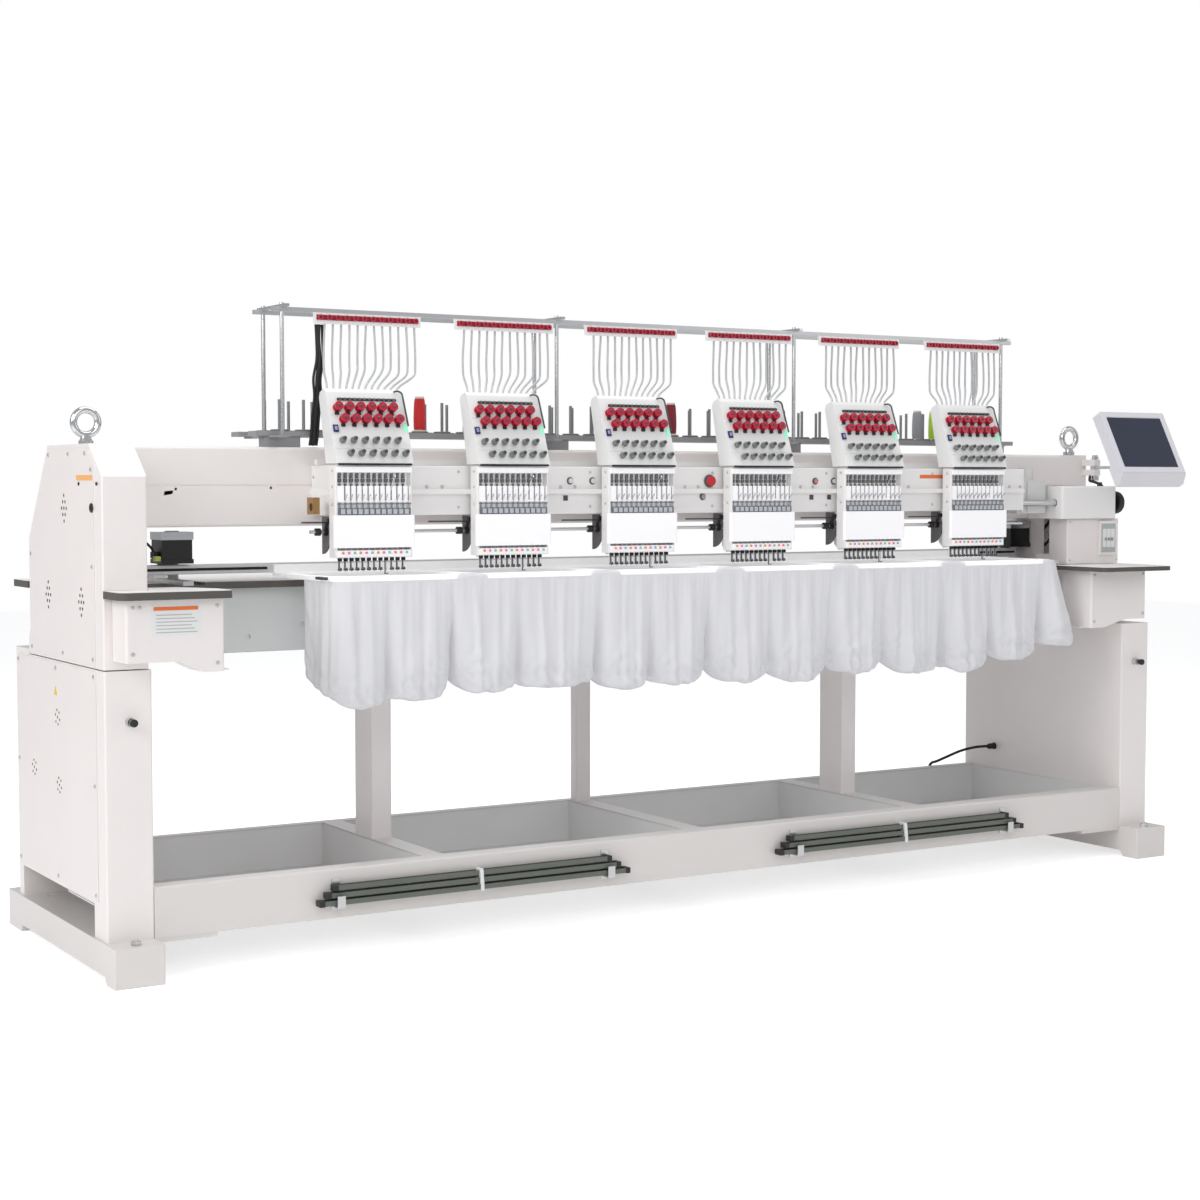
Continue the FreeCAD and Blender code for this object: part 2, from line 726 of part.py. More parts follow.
@piece
def cylinder_arms():
    """Hollow noses that reach forward from the bed."""
    arm = Body("cylinder_arm")
    back = dim.bed_front - 0.5
    inner = (head_x - ARM_INNER_HALF, head_x + ARM_INNER_HALF)
    arm.pad("YZ", [("poly", [(150, 972), (166, 955), (back, 955), (back, 1008),
                             (262, 1008), (236, 1038.8), (150, 1038.8)])],
            head_x - ARM_HALF, head_x + ARM_HALF)
    arm.round(12, along("z", (head_x - ARM_HALF, 150), (head_x + ARM_HALF, 150)))
    arm.pocket("YZ", [("rect", 153, 216, 970, 1035)], *inner)
    arm.pocket("YZ", [("rect", 226, dim.bed_front + 1, 960, 1004)], *inner)
    # Bore for the arm shaft, then the opening under the needle plate.
    arm.pocket("XZ", [("circle", head_x, dim.hook_z, dim.arm_shaft_bore)], 214, 228)
    arm.pocket("XY", [("rect", head_x - 17, head_x + 17, 186, 214)], 1030, 1040)
    return at_heads(arm.body)


@piece
def needle_plates():
    plate = Body("needle_plate")
    hole = 2
    plate.pad("XY", [("rect", head_x - 26, head_x + 26, 172, 230)],
              dim.plate_top - 3, dim.plate_top)
    plate.round(10, along("z"))
    plate.pocket("XY", [("circle", head_x, dim.needle_y, hole),
                        ("circle", head_x - 19, 201, hole),
                        ("circle", head_x + 19, 201, hole)],
                 dim.plate_top - 5, dim.plate_top + 1)
    return at_heads(plate.body)


@piece
def bobbin_cases():
    """Cups that sit still inside the hooks."""
    case = Body("bobbin_case")
    case.pad("XZ", [("circle", head_x, dim.hook_z, 15)], 166, 182)
    case.pocket("XZ", [("circle", head_x, dim.hook_z, 12.5)], 168, 183)
    return at_heads(case.body)


@piece
def linear_rails():
    """The case rail on the housing, the presser rod with its collars, and two Y rails."""
    case_rail = box(-1242, dim.house_right - 10, 229, dim.house_front, 1279, 1293)
    rods = [rod("x", -1234, PRESSER_ROD_Y, PRESSER_ROD_Z, 5, 2684)]
    for i in range(HEADS):
        rods.append(rod("x", head_x + dim.head_pitch * i - 193,
                        PRESSER_ROD_Y, PRESSER_ROD_Z, 10, 14))
    y_rails = [box(x0, x0 + 30, 245, 700, dim.board_top, 1042) for x0 in (-1615, 1585)]
    return group(case_rail, fuse(*rods), *y_rails)


# =============================================================== drive
MOTOR_Y, MOTOR_Z = 345, 1085
PULLEY_WIDE = 16
MOTOR_PULLEY_X, LOWER_PULLEY_X = 1742, 1692  # left faces of the two pulley pairs
MAIN_PULLEY, MOTOR_PULLEY = 28, 18  # radii, motor to main shaft
UPPER_PULLEY, LOWER_PULLEY = 30, 15  # radii, main shaft to lower shaft
BELT_GAP = 0.3
BELT_T = 3
GEAR_LARGE, GEAR_SMALL, GEAR_LONG = 11.2, 7.2, 4
WINDOW = (1806, 1868, 1068, 1166)  # x0, x1, z0, z1 of the control box's front opening


@piece
def main_shaft():
    """Shaft with one collar per head and two pulleys at its right end."""
    y, z = dim.shaft_y, dim.shaft_z
    start = dim.house_left + 12
    shaft = [rod("x", start, y, z, dim.shaft_rad, 1912 - start)]
    for i in range(HEADS):
        shaft.append(rod("x", head_x + dim.head_pitch * i - 8, y, z, 13.5, 16))
    shaft.append(rod("x", MOTOR_PULLEY_X, y, z, MAIN_PULLEY, PULLEY_WIDE))
    shaft.append(rod("x", LOWER_PULLEY_X, y, z, UPPER_PULLEY, PULLEY_WIDE))
    return fuse(*shaft)


@piece
def handwheel():
    y, z = dim.shaft_y, dim.shaft_z
    rim = cut(rod("x", 1886, y, z, 38, 24), rod("x", 1898, y, z, 27, 20))
    return cut(fuse(rim, rod("x", 1880, y, z, 18, 32)),
               rod("x", 1870, y, z, dim.shaft_rad, 60))


@piece
def shaft_bearings():
    upper = cut(
        box(head_x - 205, head_x - 185, dim.house_front + 3.5, 292,
            dim.house_low + 3.5, 1270),
        rod("x", head_x - 215, dim.shaft_y, dim.shaft_z, dim.shaft_bore, 40))
    lower = cut(
        box(head_x + 190, head_x + 206, dim.lower_y - 20, dim.lower_y + 20,
            dim.bed_low + 4.5, dim.hook_z + 11.5),
        rod("x", head_x + 180, dim.lower_y, dim.hook_z, dim.lower_rad + 0.05, 40))
    return group(at_heads(upper), at_heads(lower))


@piece
def lower_shaft():
    """Shaft in the bed, with its pulley and one bevel gear per head."""
    y, z = dim.lower_y, dim.hook_z
    shaft = [rod("x", -1100, y, z, dim.lower_rad, 2812),
             rod("x", LOWER_PULLEY_X, y, z, LOWER_PULLEY, PULLEY_WIDE)]
    for i in range(HEADS):
        shaft.append(cone("x", head_x + dim.head_pitch * i + 7.5, y, z,
                          GEAR_SMALL, GEAR_LARGE, GEAR_LONG))
    return fuse(*shaft)


def rotary_hook(i):
    """Notched cup, arm shaft and bevel gear of head i."""
    x, z = head_x + dim.head_pitch * i, dim.hook_z
    gear_y = dim.lower_y - 11.5
    shaft_y = 197
    cup = cut(rod("y", x, 163, z, dim.hook_rad, 35), rod("y", x, 162, z, 16, 26))
    notch = box(x - 4, x + 10, 160, 176, z + 12, z + 30)
    gear = cone("y", x, gear_y, z, GEAR_LARGE, GEAR_SMALL, GEAR_LONG)
    shaft = rod("y", x, shaft_y, z, dim.arm_shaft_rad, gear_y + GEAR_LONG / 2 - shaft_y)
    return fuse(cut(cup, notch), shaft, gear)


def belt_loop(y1, z1, radius1, y2, z2, radius2):
    """Wire around two circles: their outer arcs and common outer tangents."""
    distance = math.hypot(y2 - y1, z2 - z1)
    heading = math.atan2(z2 - z1, y2 - y1)
    spread = math.acos((radius1 - radius2) / distance)

    def point(y, z, radius, angle):
        return Vector(0, y + radius * math.cos(angle), z + radius * math.sin(angle))

    start1, end1 = [point(y1, z1, radius1, heading + side * spread) for side in (1, -1)]
    start2, end2 = [point(y2, z2, radius2, heading + side * spread) for side in (1, -1)]
    far1 = point(y1, z1, -radius1, heading)
    far2 = point(y2, z2, radius2, heading)
    return Part.Wire([
        Part.Arc(start1, far1, end1).toShape(), Part.LineSegment(end1, end2).toShape(),
        Part.Arc(end2, far2, start2).toShape(), Part.LineSegment(start2, start1).toShape()])


def belt(pulley_x, y1, z1, radius1, y2, z2, radius2):
    """Flat belt, 1 mm narrower than its pulleys on each side."""
    radius1 += BELT_GAP
    radius2 += BELT_GAP
    outer = Part.Face(belt_loop(y1, z1, radius1 + BELT_T, y2, z2, radius2 + BELT_T))
    inner = Part.Face(belt_loop(y1, z1, radius1, y2, z2, radius2))
    band = outer.cut(inner).extrude(Vector(PULLEY_WIDE - 2, 0, 0))
    band.translate(Vector(pulley_x + 1, 0, 0))
    return band


@piece
def drive_belts():
    y, z = dim.shaft_y.value, dim.shaft_z.value
    feature = doc.addObject("Part::Feature", "belts")
    feature.Shape = Part.makeCompound([
        belt(MOTOR_PULLEY_X, y, z, MAIN_PULLEY, MOTOR_Y, MOTOR_Z, MOTOR_PULLEY),
        belt(LOWER_PULLEY_X, y, z, UPPER_PULLEY,
             dim.lower_y.value, dim.hook_z.value, LOWER_PULLEY)])
    return feature


@piece
def main_motor():
    """Motor on its foot inside the control box, with its flange, shaft and pulley."""
    y, z = MOTOR_Y, MOTOR_Z
    return fuse(
        rod("x", 1768, y, z, 38, 100),
        box(1762, 1768.5, y - 42, y + 42, z - 42, z + 42),
        rod("x", 1738, y, z, 8, 26),
        rod("x", MOTOR_PULLEY_X, y, z, MOTOR_PULLEY, PULLEY_WIDE),
        box(1790, 1850, y - 23, y + 23, 1030.5, 1060))


@piece
def drive_cover():
    """Cover over the pulleys, open below and behind."""
    cover = Body("drive_cover_body")
    left, right, front, top, wall = 1607, 1870, 226, 1302, 3
    cover.pad("XY", [("rect", left, right, front, dim.beam_front - 1)], dim.beam_low, top)
    top_edge = along("x", (None, front, top))
    corners = along("z", (left, front), (right, front))
    cover.round(10, lambda edge: top_edge(edge) or corners(edge))
    cover.pocket("XY", [("rect", left + wall, right - wall, front + wall, dim.beam_front)],
                 dim.beam_low - 1, top - wall)
    cover.pocket("YZ", [("circle", dim.shaft_y, dim.shaft_z, dim.shaft_rad + 2)], 1600, 1880)
    return cover.body


@piece
def control_box():
    """Box under the drive cover, open above and behind, with a framed switch plate."""
    shell = Body("control_box_body")
    left, right, front, wall = 1646, 1896, 240, 3
    x0, x1, z0, z1 = WINDOW
    shell.pad("XY", [("rect", left, right, front, dim.beam_front - 1)],
              dim.board_top - 4, dim.beam_low - 0.5)
    shell.round(6, along("z", (left, front), (right, front)))
    shell.pocket("XY", [("rect", left + wall, right - wall, front + wall, dim.beam_front)],
                 dim.board_top, dim.beam_low)
    # Opening in the left wall, then the window in the front wall.
    shell.pocket("YZ", [("rect", 330, dim.beam_front, 1060, dim.beam_low)], 1640, 1652)
    shell.pocket("XZ", [("rect", x0, x1, z0, z1)], front - 1, front + 10)

    frame = cut(box(x0 - 11, x1 + 11, 231, 239.8, z0 - 12, z1 + 12),
                box(x0, x1, 225, 245, z0, z1))
    plate = box(x0 + 0.5, x1 - 0.5, 237, 252, z0 + 0.5, z1 - 0.5)
    slot = box(1812, 1862, 225, 244, 1098, 1128)
    return group(shell.body, cut(fuse(frame, plate), slot))


@piece
def breaker_switch():
    """Three toggles on one pin, in the slot of the switch plate."""
    toggles = [box(1817 + 15 * k, 1827 + 15 * k, 226, 240, 1108, 1118) for k in range(3)]
    return fuse(rod("x", 1813, 240, 1113, 3, 48), *toggles)


@piece
def colour_change_drive():
    """Gearbox and motor at the right end of the housing."""
    return fuse(
        box(1456, 1590, 292, dim.beam_front - 1, 1206, 1322),
        box(1470, 1478, 286, 293, 1210, 1318), box(1500, 1508, 286, 293, 1210, 1318),
        rod("z", 1540, 340, 1321, 26, 44))


# =============================================================== colour-change carriage
case_x = dim.head_first + dim.case_shift
ACTIVE_NEEDLE = 9
FOOT_DROP = 12  # how far the active presser foot stands below the others


def needle_shift(number):
    """Offset of a needle, counted from 1, from the middle of its case."""
    return dim.needle_pitch * (number - (NEEDLES + 1) / 2)


active_x = case_x + needle_shift(ACTIVE_NEEDLE)


@piece
def needle_cases():
    """Cases with two front windows, joined by one long bar behind them."""
    case = Body("needle_case")
    left, right = case_x - dim.case_half, case_x + dim.case_half
    needles = [case_x + needle_shift(k) for k in range(1, NEEDLES + 1)]
    case.pad("XY", [("rect", left, right, dim.case_front, dim.case_back)],
             dim.case_low, dim.case_top)
    case.round(5, along("z", (left, dim.case_front), (right, dim.case_front)))
    for low, high in ((1228, 1340), (1114, 1214)):
        case.pocket("XZ", [("rect", left + 6, right - 6, low, high)], dim.case_front - 1, 220)
    case.pocket("XY", [("circle", x, dim.needle_y, dim.bar_bore) for x in needles],
                dim.case_low - 1, dim.case_top + 1)
    # Slots for the presser foot stems.
    case.pocket("XY", [("rect", x - 2, x + 2, 210.8, 215.2) for x in needles],
                dim.case_low - 1, dim.case_low + 20)

    link_parts = [box(-1180, 1300, 332, 348, 1363, 1379)]
    for y0, y1, low in ((236, 340, 1361.5), (196, 240, dim.case_top)):
        for i in range(HEADS):
            x = case_x + dim.head_pitch * i
            link_parts.append(box(x - 30, x + 30, y0, y1, low, 1364.5))
    return group(at_heads(case.body), fuse(*link_parts))


@piece
def case_covers():
    """Front covers with side returns, open below and behind."""
    cover = Body("case_cover")
    left, right = case_x - dim.case_half, case_x + dim.case_half
    front = dim.cover_front
    cover.pad("XY", [("rect", left - 7, right + 4, front, dim.case_front - 0.5)], 1128, 1220)
    cover.round(6, along("z", (left - 7, front), (right + 4, front)))
    cover.pocket("XY", [("rect", left + 4, right - 4, front + 3, dim.case_front)], 1127, 1217)
    return at_heads(cover.body)


# Foot and top of the tension box's leaning front face, y and z.
FACE_FOOT = (176, 1366)
FACE_TOP = (252, 1570)
LEAN = math.atan2(FACE_TOP[0] - FACE_FOOT[0], FACE_TOP[1] - FACE_FOOT[1])
STUD_PITCH = 34
# Rows of studs: x of the first from the case middle, distance up the face.
ROLLER_ROWS = ((-92, 167), (-78, 131))
KNOB_ROWS = ((-94, 66), (-76, 27))
# Steps of a stud: start in front of the face, radius, length.
ROLLER_STEPS = ((20, 13, 6), (14.5, 8, 8.5), (6.5, 13, 6))
KNOB_STEPS = ((24, 5, 4), (20.5, 7.8, 10), (11, 10, 3.5), (8, 4.5, 7.5))


@piece
def tension_boxes():
    """Boxes that lean back above the cases."""
    tension = Body("tension_box")
    tension.pad("YZ", [("poly", [FACE_FOOT, FACE_TOP, (262, 1578), (288, 1568), (294, 1554),
                                 (262, 1420), (250, 1366)])],
                case_x - dim.case_half, case_x + dim.case_half)
    tension.round(14, along("x", (None, *FACE_TOP)))
    return at_heads(tension.body)


def stud(x, rise, out, radius, length):
    """Cylinder normal to the leaning face, starting out from it and running towards it."""
    y = FACE_FOOT[0] + rise * math.sin(LEAN) - out * math.cos(LEAN)
    z = FACE_FOOT[1] + rise * math.cos(LEAN) + out * math.sin(LEAN)
    part = doc.addObject("Part::Cylinder", fresh("stud"))
    bind(part, "Radius", radius)
    bind(part, "Height", length)
    turn = Rotation(Vector(1, 0, 0), -90 - math.degrees(LEAN))
    part.Placement = Placement(Vector(0, y, z), turn)
    place(part, x)
    return part


def stud_rows(rows, steps):
    """Six stepped studs in each row, at every head."""
    studs = []
    for k in range(6):
        for first, rise in rows:
            x = case_x + first + STUD_PITCH * k
            studs.append(fuse(*[stud(x, rise, *step) for step in steps]))
    return at_heads(group(*studs))


@piece
def tension_rollers():
    return stud_rows(ROLLER_ROWS, ROLLER_STEPS)


@piece
def tension_knobs():
    return stud_rows(KNOB_ROWS, KNOB_STEPS)


def needle_bar():
    """Bar, clamp, needle with its point, and clamp screw."""
    y, point = dim.needle_y, 6
    return fuse(
        rod("z", case_x, y, 1091, dim.bar_rad, 1358 - 1091),
        rod("z", case_x, y, 1090, 5.5, 9.5),
        rod("z", case_x, y, dim.tip_z + point, 0.8, 30),
        cone("z", case_x, y, dim.tip_z, 0.1, 0.8, point),
        rod("y", case_x, y - 11, 1095, 2, 8))


def presser_foot():
    """Ring around the needle, with a stem behind it."""
    low, high, stem = 1064, 1066.5, 1.2
    ring = cut(rod("z", case_x, dim.needle_y, low, 6.5, high - low),
               rod("z", case_x, dim.needle_y, 1060, 2.2, 10))
    return fuse(ring, box(case_x - stem, case_x + stem, 210, 214.5, low, high),
                box(case_x - stem, case_x + stem, 211.5, 214.5, low, 1112))


@piece
def parked_needle_bars():
    parked = [(dim.head_pitch * i + needle_shift(k), 0, 0)
              for i in range(HEADS) for k in range(1, NEEDLES + 1) if k != ACTIVE_NEEDLE]
    return group(copies(needle_bar(), parked), copies(presser_foot(), parked))


def at_active_needles(source, dz):
    shift = needle_shift(ACTIVE_NEEDLE)
    return copies(source, [(dim.head_pitch * i + shift, 0, dz) for i in range(HEADS)])


@piece
def active_needle_bars():
    return at_active_needles(needle_bar(), 0)


@piece
def active_presser_feet():
    return at_active_needles(presser_foot(), -FOOT_DROP)


@piece
def active_takeup_levers():
    """Levers of the active needles, on a pivot inside the case."""
    lever = Body("takeup_lever")
    lever.pad("YZ", [("poly", [(209, 1256), (217, 1258), (216, 1268), (178, 1328),
                               (164, 1334), (160, 1329), (173, 1322), (207, 1264)])],
              active_x + 8, active_x + 10)
    lever.pocket("YZ", [("circle", 165.5, 1329.5, 1.5)], active_x + 7, active_x + 11)
    return at_heads(fuse(lever.body, rod("x", active_x + 5, 212, 1262, 2.5, 8)))


# =============================================================== pantograph
HOOP_ARM_HALF = 6


@piece
def pantograph_beam():
    """Beam with a groove in its front face and a slider pad on each Y rail."""
    beam = Body("pantograph_beam_body")
    beam.pad("YZ", [("rect", 495, 535, 1050, 1078)], -1635, 1635)
    beam.round(3, along("x"))
    beam.pocket("YZ", [("rect", 493, 497, 1060, 1068)], -1640, 1640)
    for x0, x1 in ((-1622, -1578), (1578, 1622)):
        beam.pad("XY", [("rect", x0, x1, 470, 545)], 1042.4, 1051)
    return beam.body


def frame_motor(x, plate, neck):
    """Motor centred on x; plate and neck give the x ranges of its two mounting parts."""
    return fuse(
        box(x - 45, x + 45, 470, 556, 1094, 1151),
        box(x - 48, x + 48, 467, 559, 1150, 1172),
        box(x - 48, x + 48, 467, 559, 1082, 1095),
        rod("z", x, 513, 1171, 20, 4),
        box(*plate, 561, 566, 1030.2, 1160), box(*neck, 555, 562, 1100, 1145))


@piece
def frame_drive_motors():
    """Two motors over the beam, each on a plate that rises from the rear board."""
    return group(frame_motor(-1550, (-1576, -1514), (-1560, -1530)),
                 frame_motor(1636, (1622, 1672), (1630, 1660)))


@piece
def hoop_rail():
    """Flat bar and upright strip in front of the beam, with seven forward arms."""
    first = head_x - dim.head_pitch / 2
    last = head_x + dim.head_pitch * (HEADS - 0.5)
    parts = [box(first - HOOP_ARM_HALF, last + HOOP_ARM_HALF, 466, 490, 1040, 1052),
             box(first, last, 486, 493, 1045, 1074)]
    for i in range(HEADS + 1):
        x = head_x + dim.head_pitch * (i - 0.5)
        parts.append(box(x - HOOP_ARM_HALF, x + HOOP_ARM_HALF, 118, 468, 1042, 1050))
    return fuse(*parts)


@piece
def hoops():
    """Rounded rings with ears that reach to the arms."""
    hoop = Body("hoop")
    wide, half = dim.hoop_wide, dim.hoop_half
    hoop.pad("XY", [("rect", head_x - half, head_x + half, dim.hoop_front, dim.hoop_back)],
             dim.hoop_low, dim.hoop_top)
    hoop.round(60, along("z"))
    left, right = head_x - (half - wide), head_x + (half - wide)
    front, back = dim.hoop_front + wide, dim.hoop_back - wide
    # Each inner corner is cut by two facets.
    far, near = 48, 14
    hoop.pocket("XY", [("poly", [
        (left + far, front), (right - far, front),
        (right - near, front + near), (right, front + far),
        (right, back - far), (right - near, back - near),
        (right - far, back), (left + far, back),
        (left + near, back - near), (left, back - far),
        (left, front + far), (left + near, front + near)])],
        dim.hoop_low - 1, dim.hoop_top + 1)
    reach = dim.head_pitch / 2 - (HOOP_ARM_HALF + 0.3)
    for y in (150, 380):
        for x0, x1 in ((head_x - reach, head_x - half + 2),
                       (head_x + half - 2, head_x + reach)):
            hoop.pad("XY", [("rect", x0, x1, y, y + 30)], 1043, 1049)
    return at_heads(hoop.body)


@piece
def fabric_bags():
    """U-shaped skirts under the hoops, open at the rear."""
    bag = Body("fabric_bag")
    left, right = head_x - dim.hoop_half, head_x + dim.hoop_half
    front, back, wall = dim.hoop_front, 410, dim.bag_t
    bag.pad("XY", [("poly", [
        (left, back), (left, front), (right, front), (right, back),
        (right - wall, back), (right - wall, front + wall),
        (left + wall, front + wall), (left + wall, back)])],
        dim.bag_low, dim.hoop_low - 0.5)
    return at_heads(bag.body)


# =============================================================== thread stand
STAND_POSTS = 4
STAND_TOP = 1822
SPOOL_X = dim.stand_first + 30
SPOOL_Y = 440
SPOOL_PITCH = 75
SPOOLS_PER_ROW = 36
# y offset of each spool row with the x shift of that row
SPOOL_ROWS = {0: 0, 130: 8}
CONE_PLACES = ((6, 0), (18, 0), (33, 130), (34, 130))  # spool number, row's y offset
EYELET_FIRST = -151
EYELET_PITCH = 27.4


@piece
def thread_stand():
    first, front, back = dim.stand_first, dim.stand_front, dim.stand_back
    last = first + dim.stand_pitch * (STAND_POSTS - 1)
    posts_x = [first + dim.stand_pitch * k for k in range(STAND_POSTS)]
    parts = []
    for x in posts_x:
        parts += [
            rod("z", x, front, dim.shelf_low - 4, 6, STAND_TOP - 1442),
            rod("z", x, back, dim.beam_top + 0.3, 6, STAND_TOP - 1414.3),
            box(x - 7, x + 7, front - 40, back + 30, 1808, 1816),
            box(x - 25, x + 85, 418, 462, dim.beam_top + 0.2, dim.shelf_low + 1)]
    # Two upper rails, then the two shelves.
    for y, half in ((front, 8), (back, 7)):
        parts.append(box(first - 30, last + 40, y - half, y + half, 1796.5, 1809))
    for y0, y1 in ((410, 470), (540, 600)):
        parts.append(box(first - 55, last + 120, y0, y1, dim.shelf_low, dim.shelf_top))
    for x in posts_x:
        parts.append(box(x - 15, x + 15, front - 10, 600, dim.shelf_low - 5, dim.shelf_low + 1))
    return fuse(*parts)


@piece
def spool_pins():
    low = dim.shelf_top + 0.1
    pin = fuse(rod("z", SPOOL_X, SPOOL_Y, low, 4.5, 92), rod("z", SPOOL_X, SPOOL_Y, low, 22, 5))
    return copies(pin, [(SPOOL_PITCH * k + shift, dy, 0)
                        for k in range(SPOOLS_PER_ROW) for dy, shift in SPOOL_ROWS.items()])


@piece
def thread_cones():
    low = dim.shelf_top + 5.4
    cones = []
    for k, dy in CONE_PLACES:
        x, y = SPOOL_X + SPOOL_PITCH * k + SPOOL_ROWS[dy], SPOOL_Y + dy
        cones.append(cut(fuse(cone("z", x, y, low, 16, 13.5, 104), rod("z", x, y, low, 21, 3)),
                         rod("z", x, y, dim.shelf_top, 6, 140)))
    return group(*cones)


@piece
def guide_plates():
    """A folded plate over a strip of twelve eyelets, one set per head."""
    x, z = dim.guide_first, dim.guide_z
    plate = Body("guide_plate")
    plate.pad("YZ", [("poly", [(328, z), (332, z), (336, z + 30.5), (353, z + 30.5),
                               (353, z + 31.4), (328, z + 31.4)])], x - 169, x + 169)
    parts = [plate.body]
    for k in range(NEEDLES):
        eyelet_x = x + EYELET_FIRST + EYELET_PITCH * k
        parts.append(cut(rod("y", eyelet_x, 319, z + 18, 8, 8.8),
                         rod("y", eyelet_x, 318, z + 18, 4, 6)))
    return at_heads(group(*parts))


def thread_tube(top, foot):
    """Bent round tube that starts down from top and ends at foot."""
    middle = Vector(top.x + (foot.x - top.x) * 0.25, 338, 1690)
    curve = Part.BSplineCurve()
    curve.interpolate([top, middle, foot])
    wire = Part.Wire([curve.toShape()])
    circle = Part.Circle(top, curve.tangent(0)[0], dim.tube_rad.value)
    tube = wire.makePipeShell([Part.Wire([circle.toShape()])], True, True)
    # The sweep may come back as a closed shell.
    return Part.makeSolid(tube) if tube.ShapeType == "Shell" else tube


@piece
def thread_tubes():
    """Twelve tubes per head, from the guide plates to just above the tension boxes."""
    tubes = []
    for i in range(HEADS):
        head_shift = dim.head_pitch.value * i
        for k in range(NEEDLES):
            top_x = dim.guide_first.value + head_shift + EYELET_FIRST + EYELET_PITCH * k
            foot_x = case_x.value + head_shift - 112 + 18.9 * k
            tubes.append(thread_tube(Vector(top_x, 342, dim.guide_z.value - 1),
                                     Vector(foot_x, 300, 1606)))
    feature = doc.addObject("Part::Feature", "tubes")
    feature.Shape = Part.makeCompound(tubes)
    return feature


# =============================================================== front furniture
@piece
def spare_hoop_rails():
    """Two stacks of three upward-open channels along the front rail."""
    channels = []
    for x0, x1 in ((-1290, -312), (272, 1262)):
        for k in range(3):
            channel = Body(fresh("spare"))
            y, z = 48 + 4 * k, 146 + 20 * k
            channel.pad("YZ", [("poly", [
                (y, z), (78, z), (78, z + 14), (75, z + 14), (75, z + 3),
                (y + 3, z + 3), (y + 3, z + 14), (y, z + 14)])], x0 + 22 * k, x1 - 30 * k)
            channels.append(channel.body)
    return group(*channels)


@piece
def storage_brackets():
    """Four hooks on the front rail and a peg on each cabinet front."""
    hooks = []
    for x in (-1255, -380, 320, 1200):
        hooks.append(fuse(box(x, x + 24, 81.5, 84.7, 130, 216), box(x, x + 24, 40, 82, 138, 142),
                          box(x, x + 24, 40, 43, 138, 172)))
    peg = fuse(rod("y", PEG_X, 46, PEG_Z, 7.5, 22), rod("y", PEG_X, 66, PEG_Z, 12, 18.7),
               rod("y", PEG_X, 80, PEG_Z, 4, 10))
    return group(*hooks, peg, mirror_x(peg))


@piece
def emergency_stop():
    x, z = STOP_BUTTON
    return fuse(rod("y", x, 230, z, 15.5, 9), rod("y", x, 238, z, 9, 20))


@piece
def start_stop_buttons():
    return group(*[fuse(rod("y", x, 237, z, 7.5, 4), rod("y", x, 240, z, 5, 16))
                   for x, z in START_BUTTONS])


# =============================================================== operator panel
# The panel is drawn upright with its front face at y = 0, then tilted and moved.
TILT_PIN_BACK = 11  # tilt pin behind the panel's back face
TILT_PIN_UP = 115  # tilt pin up the panel
SCREEN_SIDE, SCREEN_LOW, SCREEN_TOP = 24, 26, 22  # margins around the screen


def screen_outline(gap):
    half = dim.panel_half - (SCREEN_SIDE + gap)
    return [("rect", -half, half, SCREEN_LOW + gap, dim.panel_high - (SCREEN_TOP + gap))]


@piece
def control_panel():
    housing = Body("panel_housing")
    half, high, deep = dim.panel_half, dim.panel_high, dim.panel_t
    housing.pad("YZ", [("poly", [(0, 0), (28, -27), (deep + 12, -27), (deep + 12, 40),
                                 (deep, 55), (deep, high), (0, high)])], -half, half)
    housing.round(6, along("y", (-half, None, high), (half, None, high)))
    housing.pocket("XZ", screen_outline(0), -1, 2)
    # Lug on the back, bored for the tilt pin.
    housing.pad("XZ", [("rect", -20, 20, 100, 130)], deep - 1, deep + 20)
    housing.pocket("YZ", [("circle", deep + TILT_PIN_BACK, TILT_PIN_UP, 5.05)], -25, 25)
    screen = Body("panel_screen")
    screen.pad("XZ", screen_outline(0.3), 0.4, 1.9)
    tilt = Rotation(Vector(1, 0, 0), -dim.panel_tilt.value)
    for body in (housing.body, screen.body):
        body.Placement = Placement(Vector(0, 0, 0), tilt)
        place(body, dim.panel_x, dim.panel_y, dim.panel_z)
    return group(housing.body, screen.body)


@piece
def panel_arm():
    """Post in the bracket's two ears, and a yoke with the tilt pin."""
    x, post_y = dim.panel_x, dim.post_y
    tilt = math.radians(dim.panel_tilt.value)
    back = dim.panel_t.value + TILT_PIN_BACK
    pin_y = dim.panel_y.value + back * math.cos(tilt) + TILT_PIN_UP * math.sin(tilt)
    pin_z = dim.panel_z.value - back * math.sin(tilt) + TILT_PIN_UP * math.cos(tilt)
    return fuse(
        rod("z", x, post_y, 1330, dim.post_rad, 76), rod("z", x, post_y, 1362.4, 15, 13),
        box(x - 8, x + 8, 171, post_y - 8, 1364, 1374), box(x - 26, x + 26, 151, 172, 1364, 1374),
        box(x - 26, x - 20.6, 151, 170, 1364, pin_z + 6),
        box(x + 20.6, x + 26, 151, 170, 1364, pin_z + 6),
        rod("x", x - 29, pin_y, pin_z, 5, 58),
        cone("z", x, post_y, 1400, 15, 10, 14), rod("z", x, post_y, 1322, 15, 17))


# =============================================================== build, check and export
for build in builders:
    finish(build(), build.__name__)
for i in range(HEADS):
    finish(rotary_hook(i), "rotary_hook_%d" % (i + 1))
doc.recompute()

bad = ["%s (%s)" % (obj.Name, obj.getStatusString())
       for obj in doc.Objects if "Invalid" in obj.State or "Error" in obj.State]
if bad:
    raise RuntimeError("failed objects: %s" % ", ".join(bad))
if len({obj.Label for obj in nodes}) != len(nodes):
    raise RuntimeError("piece labels must be unique")
for obj in nodes:
    if obj.Shape.isNull() or not obj.Shape.isValid() or not obj.Shape.Solids:
        raise RuntimeError("%s has no valid solid" % obj.Label)

